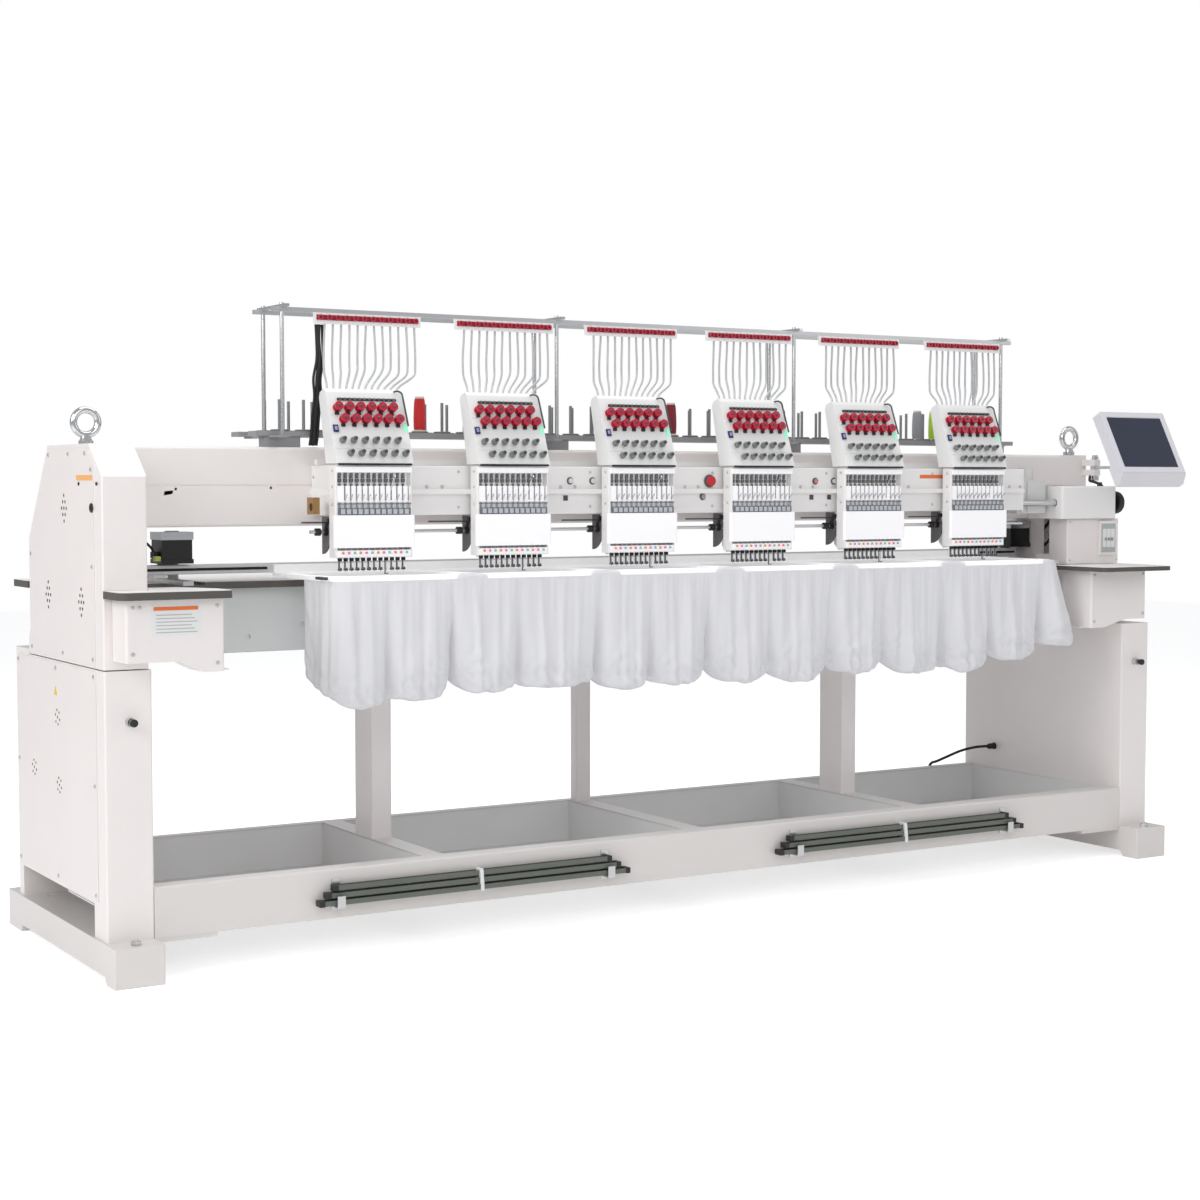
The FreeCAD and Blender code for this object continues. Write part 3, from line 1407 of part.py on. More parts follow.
os.makedirs("parts", exist_ok=True)
for obj in nodes:
    obj.Shape.exportStep(os.path.join("parts", obj.Label + ".step"))
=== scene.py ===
"""Six-head embroidery machine on a pale floor.

This script gives them their materials and adds the small details. Details are drawn in machine
millimetres: X = 0 midway between the feet, Y = 0 at their front, Z = 0 on the floor. The machine
faces -Y, and +X is to the right as seen from its front.
"""
import math
import bpy
import numpy as np
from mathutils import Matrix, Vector


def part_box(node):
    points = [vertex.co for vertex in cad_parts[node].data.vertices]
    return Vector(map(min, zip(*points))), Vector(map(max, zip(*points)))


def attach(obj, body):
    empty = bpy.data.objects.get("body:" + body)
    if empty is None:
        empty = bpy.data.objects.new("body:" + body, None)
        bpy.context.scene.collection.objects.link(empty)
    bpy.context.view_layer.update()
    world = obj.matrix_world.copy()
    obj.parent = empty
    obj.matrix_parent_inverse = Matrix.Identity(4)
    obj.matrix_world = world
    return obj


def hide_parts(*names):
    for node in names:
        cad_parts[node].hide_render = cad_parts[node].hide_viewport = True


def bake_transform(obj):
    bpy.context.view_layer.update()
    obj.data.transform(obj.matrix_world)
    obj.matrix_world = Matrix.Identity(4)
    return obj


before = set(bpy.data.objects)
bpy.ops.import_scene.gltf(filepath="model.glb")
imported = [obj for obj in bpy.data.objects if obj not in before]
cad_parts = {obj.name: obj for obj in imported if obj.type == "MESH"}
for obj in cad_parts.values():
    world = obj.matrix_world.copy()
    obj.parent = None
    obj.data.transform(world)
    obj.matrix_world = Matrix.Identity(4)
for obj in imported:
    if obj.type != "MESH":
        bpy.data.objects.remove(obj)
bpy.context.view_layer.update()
rng = np.random.default_rng(7)

feet_lo, feet_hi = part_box("foot_beams")
DX = (feet_lo.x + feet_hi.x) / 2
DY = feet_lo.y

# Bodies of the mechanism that details ride on
ROOT, CARRIAGE = "machine_frame", "colour_carriage"

HEADS = [-1024 + 450 * i for i in range(6)]     # middle of each head
CASES = [head - 45 for head in HEADS]           # middle of each needle case
GUIDES = [head + 5 for head in HEADS]           # middle of each upper guide plate

LEFT, RIGHT = (-1, 0, 0), (1, 0, 0)
FRONT, REAR, UP = (0, -1, 0), (0, 1, 0), (0, 0, 1)

# The tension boxes' front face leans back
LEAN = math.atan2(76, 204)
FACE_NORMAL = (0, -math.cos(LEAN), math.sin(LEAN))
FACE_FOOT_Y, FACE_FOOT_Z = 176, 1366


def to_scene(x, y, z):
    """Machine millimetres to scene metres."""
    return (x / 1000 + DX, y / 1000 + DY, z / 1000)


def face_point(s, out):
    """Y and Z on the leaning tension face: s up the slope, out in front of it."""
    return (FACE_FOOT_Y + s * math.sin(LEAN) - out * math.cos(LEAN),
            FACE_FOOT_Z + s * math.cos(LEAN) + out * math.sin(LEAN))


# ------------------------------------------------------------------ material builders
def add_node(tree, kind, **inputs):
    """New shader node with input values; an underscore in a name stands for a space."""
    node = tree.nodes.new("ShaderNode" + kind)
    for socket, value in inputs.items():
        node.inputs[socket.replace("_", " ")].default_value = value
    return node


def new_material(name):
    mat = bpy.data.materials.new(name)
    mat.use_nodes = True
    return mat, mat.node_tree, mat.node_tree.nodes["Principled BSDF"]


def surface(name, color, rough=0.4, metal=0.0, coat=0.0, bump=None, masks=(), vary=0.03,
            glow=None, top=None):
    """Procedural material.

    bump: noise scale, strength. vary: brightness spread. glow: colour, strength.
    masks: bands of another finish, as axis, low mm, high mm, colour, rough, metal.
    top: colour and rough of upward faces.
    """
    mat, tree, shader = new_material(name)
    link = tree.links.new
    coords = add_node(tree, "TexCoord").outputs["Object"]
    noise = add_node(tree, "TexNoise", Scale=6.0, Detail=4.0)
    link(coords, noise.inputs["Vector"])
    shade = add_node(tree, "MapRange", To_Min=1.0 - vary, To_Max=1.0 + vary)
    link(noise.outputs["Fac"], shade.inputs["Value"])

    chain = {}
    for key, kind, value in (("color", "RGB", (*color, 1)), ("rough", "Value", rough),
                             ("metal", "Value", metal)):
        chain[key] = add_node(tree, kind).outputs[0]
        chain[key].default_value = value

    def mix_in(factor, color, rough, metal):
        """Lay another finish over the chain; slot is the mix node's first input in use."""
        for key, data_type, slot, out, value in (("color", "RGBA", 6, 2, (*color, 1)),
                                                 ("rough", "FLOAT", 2, 0, rough),
                                                 ("metal", "FLOAT", 2, 0, metal)):
            mix = add_node(tree, "Mix")
            mix.data_type = data_type
            link(factor, mix.inputs["Factor"])
            link(chain[key], mix.inputs[slot])
            mix.inputs[slot + 1].default_value = value
            chain[key] = mix.outputs[out]

    if masks:
        split = add_node(tree, "SeparateXYZ")
        link(coords, split.inputs[0])
    for axis, low, high, *finish in masks:
        band = add_node(tree, "Math")
        band.operation = "COMPARE"
        link(split.outputs[axis], band.inputs[0])
        band.inputs[1].default_value = (low + high) / 2000 + {"X": DX, "Y": DY, "Z": 0}[axis]
        band.inputs[2].default_value = (high - low) / 2000
        mix_in(band.outputs[0], *finish)
    if top:
        split = add_node(tree, "SeparateXYZ")
        link(add_node(tree, "NewGeometry").outputs["Normal"], split.inputs[0])
        upward = add_node(tree, "Math")
        upward.operation = "GREATER_THAN"
        upward.inputs[1].default_value = 0.7
        link(split.outputs[2], upward.inputs[0])
        mix_in(upward.outputs[0], *top, metal=0.0)

    tint = add_node(tree, "HueSaturation")
    link(shade.outputs[0], tint.inputs["Value"])
    link(chain["color"], tint.inputs["Color"])
    link(tint.outputs[0], shader.inputs["Base Color"])
    link(chain["rough"], shader.inputs["Roughness"])
    link(chain["metal"], shader.inputs["Metallic"])
    shader.inputs["Coat Weight"].default_value = coat
    shader.inputs["Coat Roughness"].default_value = 0.15
    if bump:
        grain = add_node(tree, "TexNoise", Scale=bump[0], Detail=3.0)
        link(coords, grain.inputs["Vector"])
        relief = add_node(tree, "Bump", Strength=bump[1], Distance=0.0006)
        link(grain.outputs["Fac"], relief.inputs["Height"])
        link(relief.outputs[0], shader.inputs["Normal"])
    if glow:
        shader.inputs["Emission Color"].default_value = (*glow[0], 1)
        shader.inputs["Emission Strength"].default_value = glow[1]
    return mat


def fabric(name, color, through):
    """Woven cloth; through is the share of light it lets pass."""
    mat, tree, shader = new_material(name)
    link = tree.links.new
    shader.inputs["Base Color"].default_value = (*color, 1)
    shader.inputs["Roughness"].default_value = 0.85
    shader.inputs["Sheen Weight"].default_value = 0.25
    coords = add_node(tree, "TexCoord").outputs["Object"]
    textures = []
    for direction in "XZ":
        wave = add_node(tree, "TexWave", Scale=240)
        wave.bands_direction = direction
        textures.append(wave)
    textures.append(add_node(tree, "TexNoise", Scale=60))
    for texture in textures:
        link(coords, texture.inputs["Vector"])
    height = textures[0].outputs["Fac"]
    for texture in textures[1:]:
        total = add_node(tree, "Math")
        link(height, total.inputs[0])
        link(texture.outputs["Fac"], total.inputs[1])
        height = total.outputs[0]
    relief = add_node(tree, "Bump", Strength=0.18, Distance=0.0008)
    link(height, relief.inputs["Height"])
    link(relief.outputs[0], shader.inputs["Normal"])
    passing = add_node(tree, "BsdfTranslucent", Color=(*color, 1))
    mix = add_node(tree, "MixShader")
    mix.inputs[0].default_value = through
    link(shader.outputs[0], mix.inputs[1])
    link(passing.outputs[0], mix.inputs[2])
    link(mix.outputs[0], tree.nodes["Material Output"].inputs["Surface"])
    return mat


def painted_glow(mat, strength):
    """Painted light: a little glow in the base colour, to brighten the shaded white parts under the heads.
    """
    shader = mat.node_tree.nodes["Principled BSDF"]
    base = shader.inputs["Base Color"]
    if base.is_linked:
        mat.node_tree.links.new(base.links[0].from_socket, shader.inputs["Emission Color"])
    else:
        shader.inputs["Emission Color"].default_value = base.default_value
    shader.inputs["Emission Strength"].default_value = strength


# ------------------------------------------------------------------ materials used by several pieces
BLACK = (0.012, 0.012, 0.014)
ENAMEL_GRAIN, FINE_GRAIN, TRAY_GRAIN = (420, 0.10), (420, 0.08), (380, 0.10)

enamel = surface("enamel_warm_white", (0.84, 0.797, 0.780), rough=0.34, coat=0.25,
                 bump=ENAMEL_GRAIN)
box_white = surface("tension_box_white", (0.83, 0.83, 0.82), rough=0.30, coat=0.3,
                    bump=FINE_GRAIN)
# the covers glow a little in their own colour: painted light that makes them brighter than the lamps alone
# would
cover_white = surface("case_cover_painted_glow", (0.90, 0.895, 0.91), rough=0.22, coat=0.4,
                      bump=(300, 0.03), glow=((0.98, 0.96, 1.0), 0.16))
steel = surface("ground_steel", (0.62, 0.62, 0.63), rough=0.28, metal=1.0, bump=(900, 0.12))
dark_steel = surface("dark_steel", (0.10, 0.10, 0.105), rough=0.38, metal=0.8,
                     bump=(600, 0.12))
chrome = surface("polished_chrome", (0.70, 0.71, 0.72), rough=0.12, metal=1.0)
black = surface("black_moulded", BLACK, rough=0.42, bump=(500, 0.12))
soft_black = surface("black_rubber", (0.02, 0.02, 0.02), rough=0.75, bump=(300, 0.3))
white_label = surface("label_white", (0.78, 0.78, 0.78), rough=0.5)
knob_grey = surface("knob_grey", (0.16, 0.17, 0.165), rough=0.35, metal=0.6, bump=(700, 0.2))
panel_white = surface("panel_shell_white", (0.70, 0.69, 0.73), rough=0.35, coat=0.15)
rail_white = surface("hoop_white", (0.86, 0.86, 0.87), rough=0.3)
rails_mat = surface("hoop_rail_white", (0.80, 0.80, 0.80), rough=0.35,
                    masks=[("Y", 100, 178, (0.06, 0.06, 0.065), 0.4, 0.4)])
tube_mat = surface("tube_milky", (0.66, 0.67, 0.68), rough=0.30, coat=0.3)
tube_mat.node_tree.nodes["Principled BSDF"].inputs["Transmission Weight"].default_value = 0.25
cloth_mat = fabric("bag_nonwoven_white", (0.93, 0.93, 0.945), through=0.45)
cloth_top = fabric("hooped_nonwoven_white", (0.94, 0.94, 0.95), through=0.30)
# painted light: the hooped cloth and the hoops glow a little so they look lit inside the heads' shade
for shaded in (cloth_top, rail_white, rails_mat):
    painted_glow(shaded, strength=0.3)

# ------------------------------------------------------------------ finishes of the CAD pieces
# Material and the pieces that wear it; every other piece is steel
FINISHES = [
    (enamel, "bed_posts lower_cabinets upper_side_boxes main_beam table_boxes control_box"),
    (surface("enamel_base_white", (0.71, 0.677, 0.660), rough=0.36, coat=0.25,
             bump=ENAMEL_GRAIN), "foot_beams base_frame"),
    (surface("enamel_cover_white", (0.82, 0.770, 0.752), rough=0.38, coat=0.2,
             bump=ENAMEL_GRAIN), "side_covers"),
    (surface("enamel_head_white", (0.85, 0.835, 0.825), rough=0.30, coat=0.3, bump=FINE_GRAIN),
     "front_housing head_arms cylinder_arms drive_cover needle_cases"),
    (surface("tray_pale_grey", (0.78, 0.775, 0.77), rough=0.42, bump=TRAY_GRAIN),
     "waste_trays"),
    (surface("bed_pale_grey", (0.67, 0.685, 0.68), rough=0.40, bump=TRAY_GRAIN), "bed_beam"),
    (surface("zinc_channel", (0.13, 0.142, 0.122), rough=0.55, metal=0.1, bump=(90, 0.2),
             vary=0.12), "spare_hoop_rails"),
    (surface("red_moulded", (0.45, 0.008, 0.035), rough=0.28, coat=0.3), "tension_rollers"),
    (surface("bearing_bronze", (0.42, 0.26, 0.11), rough=0.35, metal=0.9), "shaft_bearings"),
    (surface("board_laminate", (0.085, 0.078, 0.07), rough=0.55, bump=(200, 0.1),
             top=((0.80, 0.775, 0.765), 0.42)), "table_boards"),
    (surface("motor_black_silver", (0.004, 0.004, 0.005), rough=0.4,
             masks=[("Z", 1149.5, 1180, (0.55, 0.56, 0.58), 0.3, 1.0),
                    ("Y", 560.4, 580, (0.66, 0.65, 0.64), 0.4, 0.0)]), "frame_drive_motors"),
    (surface("needle_bars", (0.58, 0.58, 0.6), rough=0.22, metal=1.0,
             masks=[("Z", 1089.5, 1100, BLACK, 0.4, 0.2),
                    ("Z", 1040, 1068, (0.06, 0.06, 0.065), 0.35, 0.7)]),
     "parked_needle_bars active_needle_bars"),
    (surface("stand_chrome_grey", (0.62, 0.63, 0.64), rough=0.18, metal=1.0,
             masks=[("Z", 1400, 1461, (0.30, 0.30, 0.31), 0.4, 0.0),
                    ("Z", 1796, 1810, (0.55, 0.56, 0.57), 0.3, 0.7)]), "thread_stand"),
    (surface("guide_white_red", (0.84, 0.84, 0.835), rough=0.3, coat=0.2,
             masks=[("Y", 310, 327.6, (0.42, 0.02, 0.04), 0.35, 0.0)]), "guide_plates"),
    (surface("emergency_red", (0.55, 0.01, 0.02), rough=0.25, coat=0.4,
             masks=[("Y", 237.5, 270, (0.25, 0.25, 0.26), 0.4, 0.2)]), "emergency_stop"),
    (surface("buttons_mixed", (0.72, 0.70, 0.68), rough=0.3,
             masks=[("X", 60, 120, (0.36, 0.34, 0.34), 0.3, 0.0),
                    ("X", 520, 550, (0.62, 0.20, 0.20), 0.3, 0.0)]), "start_stop_buttons"),
    (surface("tension_knob_steel", (0.34, 0.35, 0.345), rough=0.32, metal=0.75,
             bump=(900, 0.2)), "tension_knobs"),
    (surface("breaker_grey", (0.30, 0.33, 0.32), rough=0.4), "breaker_switch"),
    (surface("drive_pale_grey", (0.66, 0.66, 0.65), rough=0.4, bump=(380, 0.08)),
     "colour_change_drive"),
    (surface("pin_grey", (0.26, 0.27, 0.28), rough=0.3, metal=0.6), "spool_pins"),
    (surface("rails_ground", (0.62, 0.62, 0.63), rough=0.28, metal=1.0,
             masks=[("Z", 1277, 1295, (0.84, 0.825, 0.815), 0.32, 0.0)]), "linear_rails"),
    (surface("beam_anodised_pale", (0.74, 0.745, 0.75), rough=0.36, metal=0.25,
             bump=(900, 0.1)), "pantograph_beam"),
    (surface("cone_paper", (0.72, 0.68, 0.58), rough=0.8), "thread_cones"),
    (surface("foot_dark", (0.10, 0.10, 0.11), rough=0.3, metal=0.8), "active_presser_feet"),
    (box_white, "tension_boxes"),
    (cover_white, "case_covers"),
    (chrome, "eye_bolts active_takeup_levers panel_arm"),
    (black, "main_motor handwheel"),
    (soft_black, "drive_belts"),
    (tube_mat, "thread_tubes"),
    (rails_mat, "hoop_rail"),
    (rail_white, "hoops"),
    (cloth_mat, "fabric_bags"),
    (panel_white, "control_panel"),
]
finish_of = {piece: mat for mat, pieces in FINISHES for piece in pieces.split()}
for name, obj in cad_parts.items():
    obj.data.materials.clear()
    obj.data.materials.append(finish_of.get(name, steel))


# ------------------------------------------------------------------ mesh building
def ring_quads(rings, sides):
    """Side faces between closed rings of vertices."""
    return [(j * sides + k, j * sides + (k + 1) % sides,
             (j + 1) * sides + (k + 1) % sides, (j + 1) * sides + k)
            for j in range(rings - 1) for k in range(sides)]


def capped_quads(rings, sides):
    caps = [tuple(range(sides))[::-1], tuple(range((rings - 1) * sides, rings * sides))]
    return ring_quads(rings, sides) + caps


def smooth_path(points):
    """Catmull-Rom curve through the points, five steps to a span."""
    q = np.vstack([2 * points[0] - points[1], points, 2 * points[-1] - points[-2]])
    fine = []
    for i in range(1, len(q) - 2):
        for t in np.arange(0, 1, 0.2):
            fine.append(0.5 * (2 * q[i] + (q[i + 1] - q[i - 1]) * t
                               + (2 * q[i - 1] - 5 * q[i] + 4 * q[i + 1] - q[i + 2]) * t * t
                               + (3 * q[i] - q[i - 1] - 3 * q[i + 1] + q[i + 2]) * t ** 3))
    return np.vstack([fine, points[-1:]])


class Part:
    """Collects vertices (machine mm) and faces for one object."""

    def __init__(self):
        self.verts, self.faces, self.count = [], [], 0

    def add(self, verts, faces):
        self.verts.append(np.asarray(verts, float))
        self.faces += [tuple(i + self.count for i in face) for face in faces]
        self.count += len(verts)
        return self

    def box(self, x0, x1, y0, y1, z0, z1):
        return self.add([(x, y, z) for x in (x0, x1) for y in (y0, y1) for z in (z0, z1)],
                        [(0, 1, 3, 2), (4, 6, 7, 5), (0, 4, 5, 1), (2, 3, 7, 6),
                         (0, 2, 6, 4), (1, 5, 7, 3)])

    def prism(self, outline, x0, x1):
        """Outline of (y, z) points, drawn out from x0 to x1."""
        n = len(outline)
        faces = [tuple(range(n)), tuple(range(2 * n - 1, n - 1, -1))]
        faces += [(i, i + n, (i + 1) % n + n, (i + 1) % n) for i in range(n)]
        return self.add([(x, y, z) for x in (x0, x1) for y, z in outline], faces)

    def lathe(self, centre, axis, profile, sides=20):
        """profile: (radius, distance along axis) from centre; closed at both ends."""
        axis = np.asarray(axis, float)
        axis /= np.linalg.norm(axis)
        helper = np.array([1.0, 0, 0]) if abs(axis[0]) < 0.9 else np.array([0, 1.0, 0])
        across = np.cross(axis, helper)
        across /= np.linalg.norm(across)
        other = np.cross(axis, across)
        verts = []
        for radius, along in profile:
            for k in range(sides):
                t = 2 * math.pi * k / sides
                verts.append(np.asarray(centre) + axis * along
                             + (across * math.cos(t) + other * math.sin(t)) * radius)
        return self.add(verts, capped_quads(len(profile), sides))

    def face_lathe(self, x, s, out, profile, sides):
        """Turned piece standing on the leaning tension face."""
        return self.lathe((x, *face_point(s, out)), FACE_NORMAL, profile, sides)

    def screw(self, x, y, z, normal, r=5.0):
        """Washer and socket head."""
        self.lathe((x, y, z), normal,
                   [(r * 1.3, 0), (r * 1.3, 0.5), (r, 0.6), (r * 0.95, r * 0.32),
                    (r * 0.6, r * 0.55), (r * 0.42, r * 0.55), (r * 0.40, r * 0.25),
                    (0.05, r * 0.24)], 14)

    def front_screws(self, y, radius, places):
        for x, z in places:
            self.screw(x, y, z, FRONT, radius)

    def tube(self, points, radius, sides=8):
        """Round tube along points; a short list of 4 to 15 is smoothed first."""
        points = np.asarray(points, float)
        if 3 < len(points) < 16:
            points = smooth_path(points)
        tangents = np.gradient(points, axis=0)
        tangents /= np.linalg.norm(tangents, axis=1)[:, None]
        helper = np.array([0, 1.0, 0]) if abs(tangents[0][1]) < 0.8 else np.array([1.0, 0, 0])
        side = np.cross(tangents[0], helper)
        side /= np.linalg.norm(side)
        verts = []
        for point, tangent in zip(points, tangents):
            side = side - tangent * (side @ tangent)
            side /= np.linalg.norm(side)
            up = np.cross(tangent, side)
            for k in range(sides):
                a = 2 * math.pi * k / sides
                verts.append(point + (side * math.cos(a) + up * math.sin(a)) * radius)
        return self.add(verts, capped_quads(len(points), sides))

    def spring(self, x, y, z0, z1, radius, wire, turns):
        """Upright coil, ten steps to a turn, of square wire."""
        t = np.linspace(0, 1, turns * 10 + 1)
        a = 2 * math.pi * turns * t
        self.tube(np.stack([x + radius * np.cos(a), y + radius * np.sin(a),
                            z0 + (z1 - z0) * t], 1), wire, 4)

    def on_face(self, x, s, out0, out1, half_width, half_height):
        """Small block on the leaning tension face."""
        verts = []
        for out in (out0, out1):
            for i, j in ((-1, -1), (1, -1), (1, 1), (-1, 1)):
                verts.append((x + i * half_width, *face_point(s + j * half_height, out)))
        return self.add(verts, [(0, 3, 2, 1), (4, 5, 6, 7), (0, 1, 5, 4), (1, 2, 6, 5),
                                (2, 3, 7, 6), (3, 0, 4, 7)])

    def make(self, name, mat, body=ROOT, bevel=0.0, slot=None):
        """Turn the part into a scene object; bevel is in mm."""
        v = np.concatenate(self.verts)
        v = np.stack([v[:, 0] / 1000 + DX, v[:, 1] / 1000 + DY, v[:, 2] / 1000], 1)
        mesh = bpy.data.meshes.new(name)
        mesh.from_pydata(v.tolist(), [], self.faces)
        mesh.update()
        obj = bpy.data.objects.new(name, mesh)
        bpy.context.scene.collection.objects.link(obj)
        mesh.materials.append(mat)
        mesh.shade_smooth()
        mesh.set_sharp_from_angle(angle=math.radians(40))
        if bevel:
            edge = obj.modifiers.new("edge", "BEVEL")
            edge.width = bevel / 1000
            edge.segments = 2
            edge.limit_method = "ANGLE"
            edge.angle_limit = math.radians(40)
        if body:
            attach(obj, body)
        return obj


# ------------------------------------------------------------------ screws on cabinets and housing
COVER_SIDE = 1893.2         # outer face of the side covers, left and right
HOUSING_FRONT = 245
LEFT_BOX_FRONT = -21
# y, z on the side covers
BOTH_SIDE_SCREWS = [(165, 220), (165, 510), (165, 800), (500, 220), (500, 800),
                    (865, 220), (865, 510), (865, 800)]
LEFT_SCREWS = [(166, 846), (166, 1090), (166, 1345), (430, 846), (722, 846), (722, 1110),
               (540, 1388), (215, 1388), (360, 1388)]
RIGHT_SCREWS = [(436, 1062), (722, 1062), (722, 1130), (540, 1388), (436, 1388)]

part = Part()
for side, extra in ((-1, LEFT_SCREWS), (1, RIGHT_SCREWS)):
    for y, z in BOTH_SIDE_SCREWS + extra:
        part.screw(side * COVER_SIDE, y, z, (side, 0, 0))
part.front_screws(470, 6, [(-1338, 867), (-1171, 899), (-888, 867), (-438, 867), (12, 867),
                           (462, 867), (912, 867), (1362, 867), (1560, 899)])
for x in np.arange(-1650, 1700, 330):
    for z in (1215, 1385):
        part.screw(x, 556, z, REAR, 6)
part.front_screws(240, 3, [(x, z) for x in (1660, 1888) for z in (1040, 1174)])
# the fifth head has no second screw
part.front_screws(HOUSING_FRONT, 4.5, [(head + dx, 1300) for head in HEADS
                                       for dx in (150, 200) if (head, dx) != (776, 200)])
part.front_screws(LEFT_BOX_FRONT, 4.5, [(-1848, 990), (-1848, 870), (-1830, 990),
                                        (-1620, 990), (-1620, 840)])
part.front_screws(60, 4.5, [(1604, 994), (1604, 834), (1836, 994), (1836, 856)])
part.make("panel_screws", steel)

# ------------------------------------------------------------------ plugs and labels
PLUG_X = -1893.4
part = Part()
part.lathe((PLUG_X, 160, 1245), LEFT, [(12, 0), (12.5, 1), (12.5, 3), (11, 4.2), (6, 4.2),
                                       (5.5, 2), (0.1, 1.8)], 24)
for y in (118, 268):
    part.lathe((PLUG_X, y, 1308), LEFT, [(5, 0), (5, 1.5), (3.5, 2.5), (0.1, 2.5)], 16)
part.make("side_plug", black)

part = Part()
part.box(-1793, -1672, -22.0, LEFT_BOX_FRONT, 981, 991)
part.box(975, 1096, 244.0, HOUSING_FRONT, 1328, 1340)
part.make("orange_labels", surface("label_orange", (0.80, 0.17, 0.035), rough=0.5), bevel=0.3)

LABEL_X = (-COVER_SIDE - 1, -COVER_SIDE)
Part().prism([(154, 1317), (288, 1317), (288, 1331), (154, 1331)], *LABEL_X).make(
    "amber_strip", surface("label_amber", (0.85, 0.42, 0.13), rough=0.5), bevel=0.3)
Part().prism([(490, 724), (518, 724), (504, 750)], *LABEL_X).make(
    "hazard_mark_plain", surface("label_yellow", (0.75, 0.55, 0.05), rough=0.5), bevel=0.2)

part = Part()
for k in range(6):
    part.box(-1786, -1690 + 8 * (k % 3), -21.8, LEFT_BOX_FRONT, 968 - 9 * k, 970.5 - 9 * k)
part.make("label_lines", surface("label_grey", (0.45, 0.45, 0.45), rough=0.6))
Part().box(-1800, -1664, -21.5, LEFT_BOX_FRONT, 915, 996).make(
    "label_backing", white_label, bevel=0.2)

# ------------------------------------------------------------------ shadowed holes of the side covers
HOLE_PITCH = 21
FLOWER_RING = 20
HOLE_X = 1892.6
FLOWERS = [(489, 664), (718, 499), (480, 476)]
VENT_RADII, FLOWER_RADII = (4.2, 4.9), (3.4, 3.9)


def vent_holes(cy, cz):
    """Diamond of nine holes."""
    return [(cy + (k - (n - 1) / 2) * HOLE_PITCH, cz + (2 - row) * HOLE_PITCH * 0.83)
            for row, n in enumerate((1, 2, 3, 2, 1)) for k in range(n)]


def flower_holes(cy, cz):
    """Six holes around one."""
    angles = [math.pi * k / 3 + 0.3 for k in range(6)]
    return [(cy, cz)] + [(cy + FLOWER_RING * math.cos(a), cz + FLOWER_RING * math.sin(a))
                         for a in angles]


part = Part()
for side, pattern, centres, (inner, rim) in (
        (-1, vent_holes, [(403, 1242), (558, 1001), (261, 993)], VENT_RADII),
        (-1, flower_holes, FLOWERS, FLOWER_RADII),
        (1, flower_holes, FLOWERS, FLOWER_RADII),
        (1, vent_holes, [(560, 1242)], VENT_RADII)):
    for centre in centres:
        for y, z in pattern(*centre):
            part.lathe((side * HOLE_X, y, z), (side, 0, 0),
                       [(inner, 0), (rim, 0.7), (rim, 0.9), (0.1, 0.9)], 12)
part.make("vent_shadows", surface("hole_dark", (0.03, 0.028, 0.028), rough=0.8))

# ------------------------------------------------------------------ sheet, bands, caps and ties
Part().box(1686, 1688.5, 400, 735, 1031, 1186).make("belt_guard_sheet", enamel, bevel=0.5)

part = Part()
for guide in GUIDES:
    part.box(guide - 161, guide + 161, 326.2, 328.2, 1775.5, 1790.5)
part.make("eyelet_bands", surface("band_dark_red", (0.26, 0.012, 0.04), rough=0.4), bevel=0.5)

# round buffers, and caps on both ends of the two stacks of three stepped rails
part = Part()
for x in (-1824, 1824):
    part.lathe((x, 44, 685), REAR, [(9, 0), (10.5, 2), (10.5, 10), (8, 12), (8, 21)])
for x0, x1 in ((-1290, -312), (272, 1262)):
    for k in range(3):
        for end, out in ((x0 + 22 * k, -1), (x1 - 30 * k, 1)):
            z = 146 + 20 * k
            part.box(*sorted((end - out, end + 14 * out)), 46 + 4 * k, 79.5, z - 1.5, z + 15.5)
part.make("black_end_caps", black, bevel=1.5)

part = Part()
for x in (-800, 765):
    part.prism([(44, 142), (80, 142), (81.2, 144), (81.2, 203), (80, 205), (50, 205),
                (43, 150)], x - 5, x + 5)
part.make("cable_ties", white_label, bevel=0.8)

# ------------------------------------------------------------------ between the heads
GUARD_Y, GUARD_Z, GUARD_RADIUS = 296, 1168, 60
guard = [(GUARD_Y, GUARD_Z)] + [(GUARD_Y - GUARD_RADIUS * math.cos(a),
                                 GUARD_Z - GUARD_RADIUS * math.sin(a))
                                for a in np.linspace(0, math.pi / 2, 12)]
part = Part()
for head in HEADS:
    part.prism(guard, head - 158, head - 154)
    part.prism([(236, 1170), (296, 1170), (296, 1216), (252, 1216)], head - 158, head - 155)
part.make("guard_quadrants", surface("guard_grey", (0.11, 0.105, 0.11), rough=0.4), bevel=0.6)

ROD_Y, ROD_Z = 262, 1172        # presser rod, along X
PIVOT_Y, PIVOT_Z = 252, 1203    # collar above it
part = Part()
for head in HEADS:
    part.lathe((head - 168, ROD_Y, ROD_Z), RIGHT, [(7, 0), (11.5, 1.5), (11.5, 12), (7, 14)])
    part.tube([(head - 161, 262, 1176), (head - 162, 260, 1186), (head - 160, 256, 1196),
               (head - 156, PIVOT_Y, PIVOT_Z)], 4.5, 10)
    part.lathe((head - 163, PIVOT_Y, PIVOT_Z), RIGHT, [(4, 0), (8, 1.5), (8, 12), (4, 14)], 18)
    part.lathe((head - 193.4, ROD_Y, ROD_Z), RIGHT,
               [(7, -1), (10.8, 0), (10.8, 14.8), (7, 15.6)])
part.make("presser_rod_collars", black)

part = Part()
for head in HEADS:
    reach = 238 if head == HEADS[0] else 290
    part.tube([(head - reach, 255, 1199), (head - 200, 256, 1199), (head - 156, 254, 1199)],
              2.5)
part.make("presser_links", dark_steel)

part = Part()
part.front_screws(HOUSING_FRONT, 3.6, [(head - 196, z) for head in HEADS[1:]
                                       for z in (1240, 1344)])
for y, z in ((262, 1328), (262, 1300), (385, 1328), (385, 1240)):
    part.screw(-1168, y, z, LEFT, 4)
part.make("housing_pad_screws", steel)

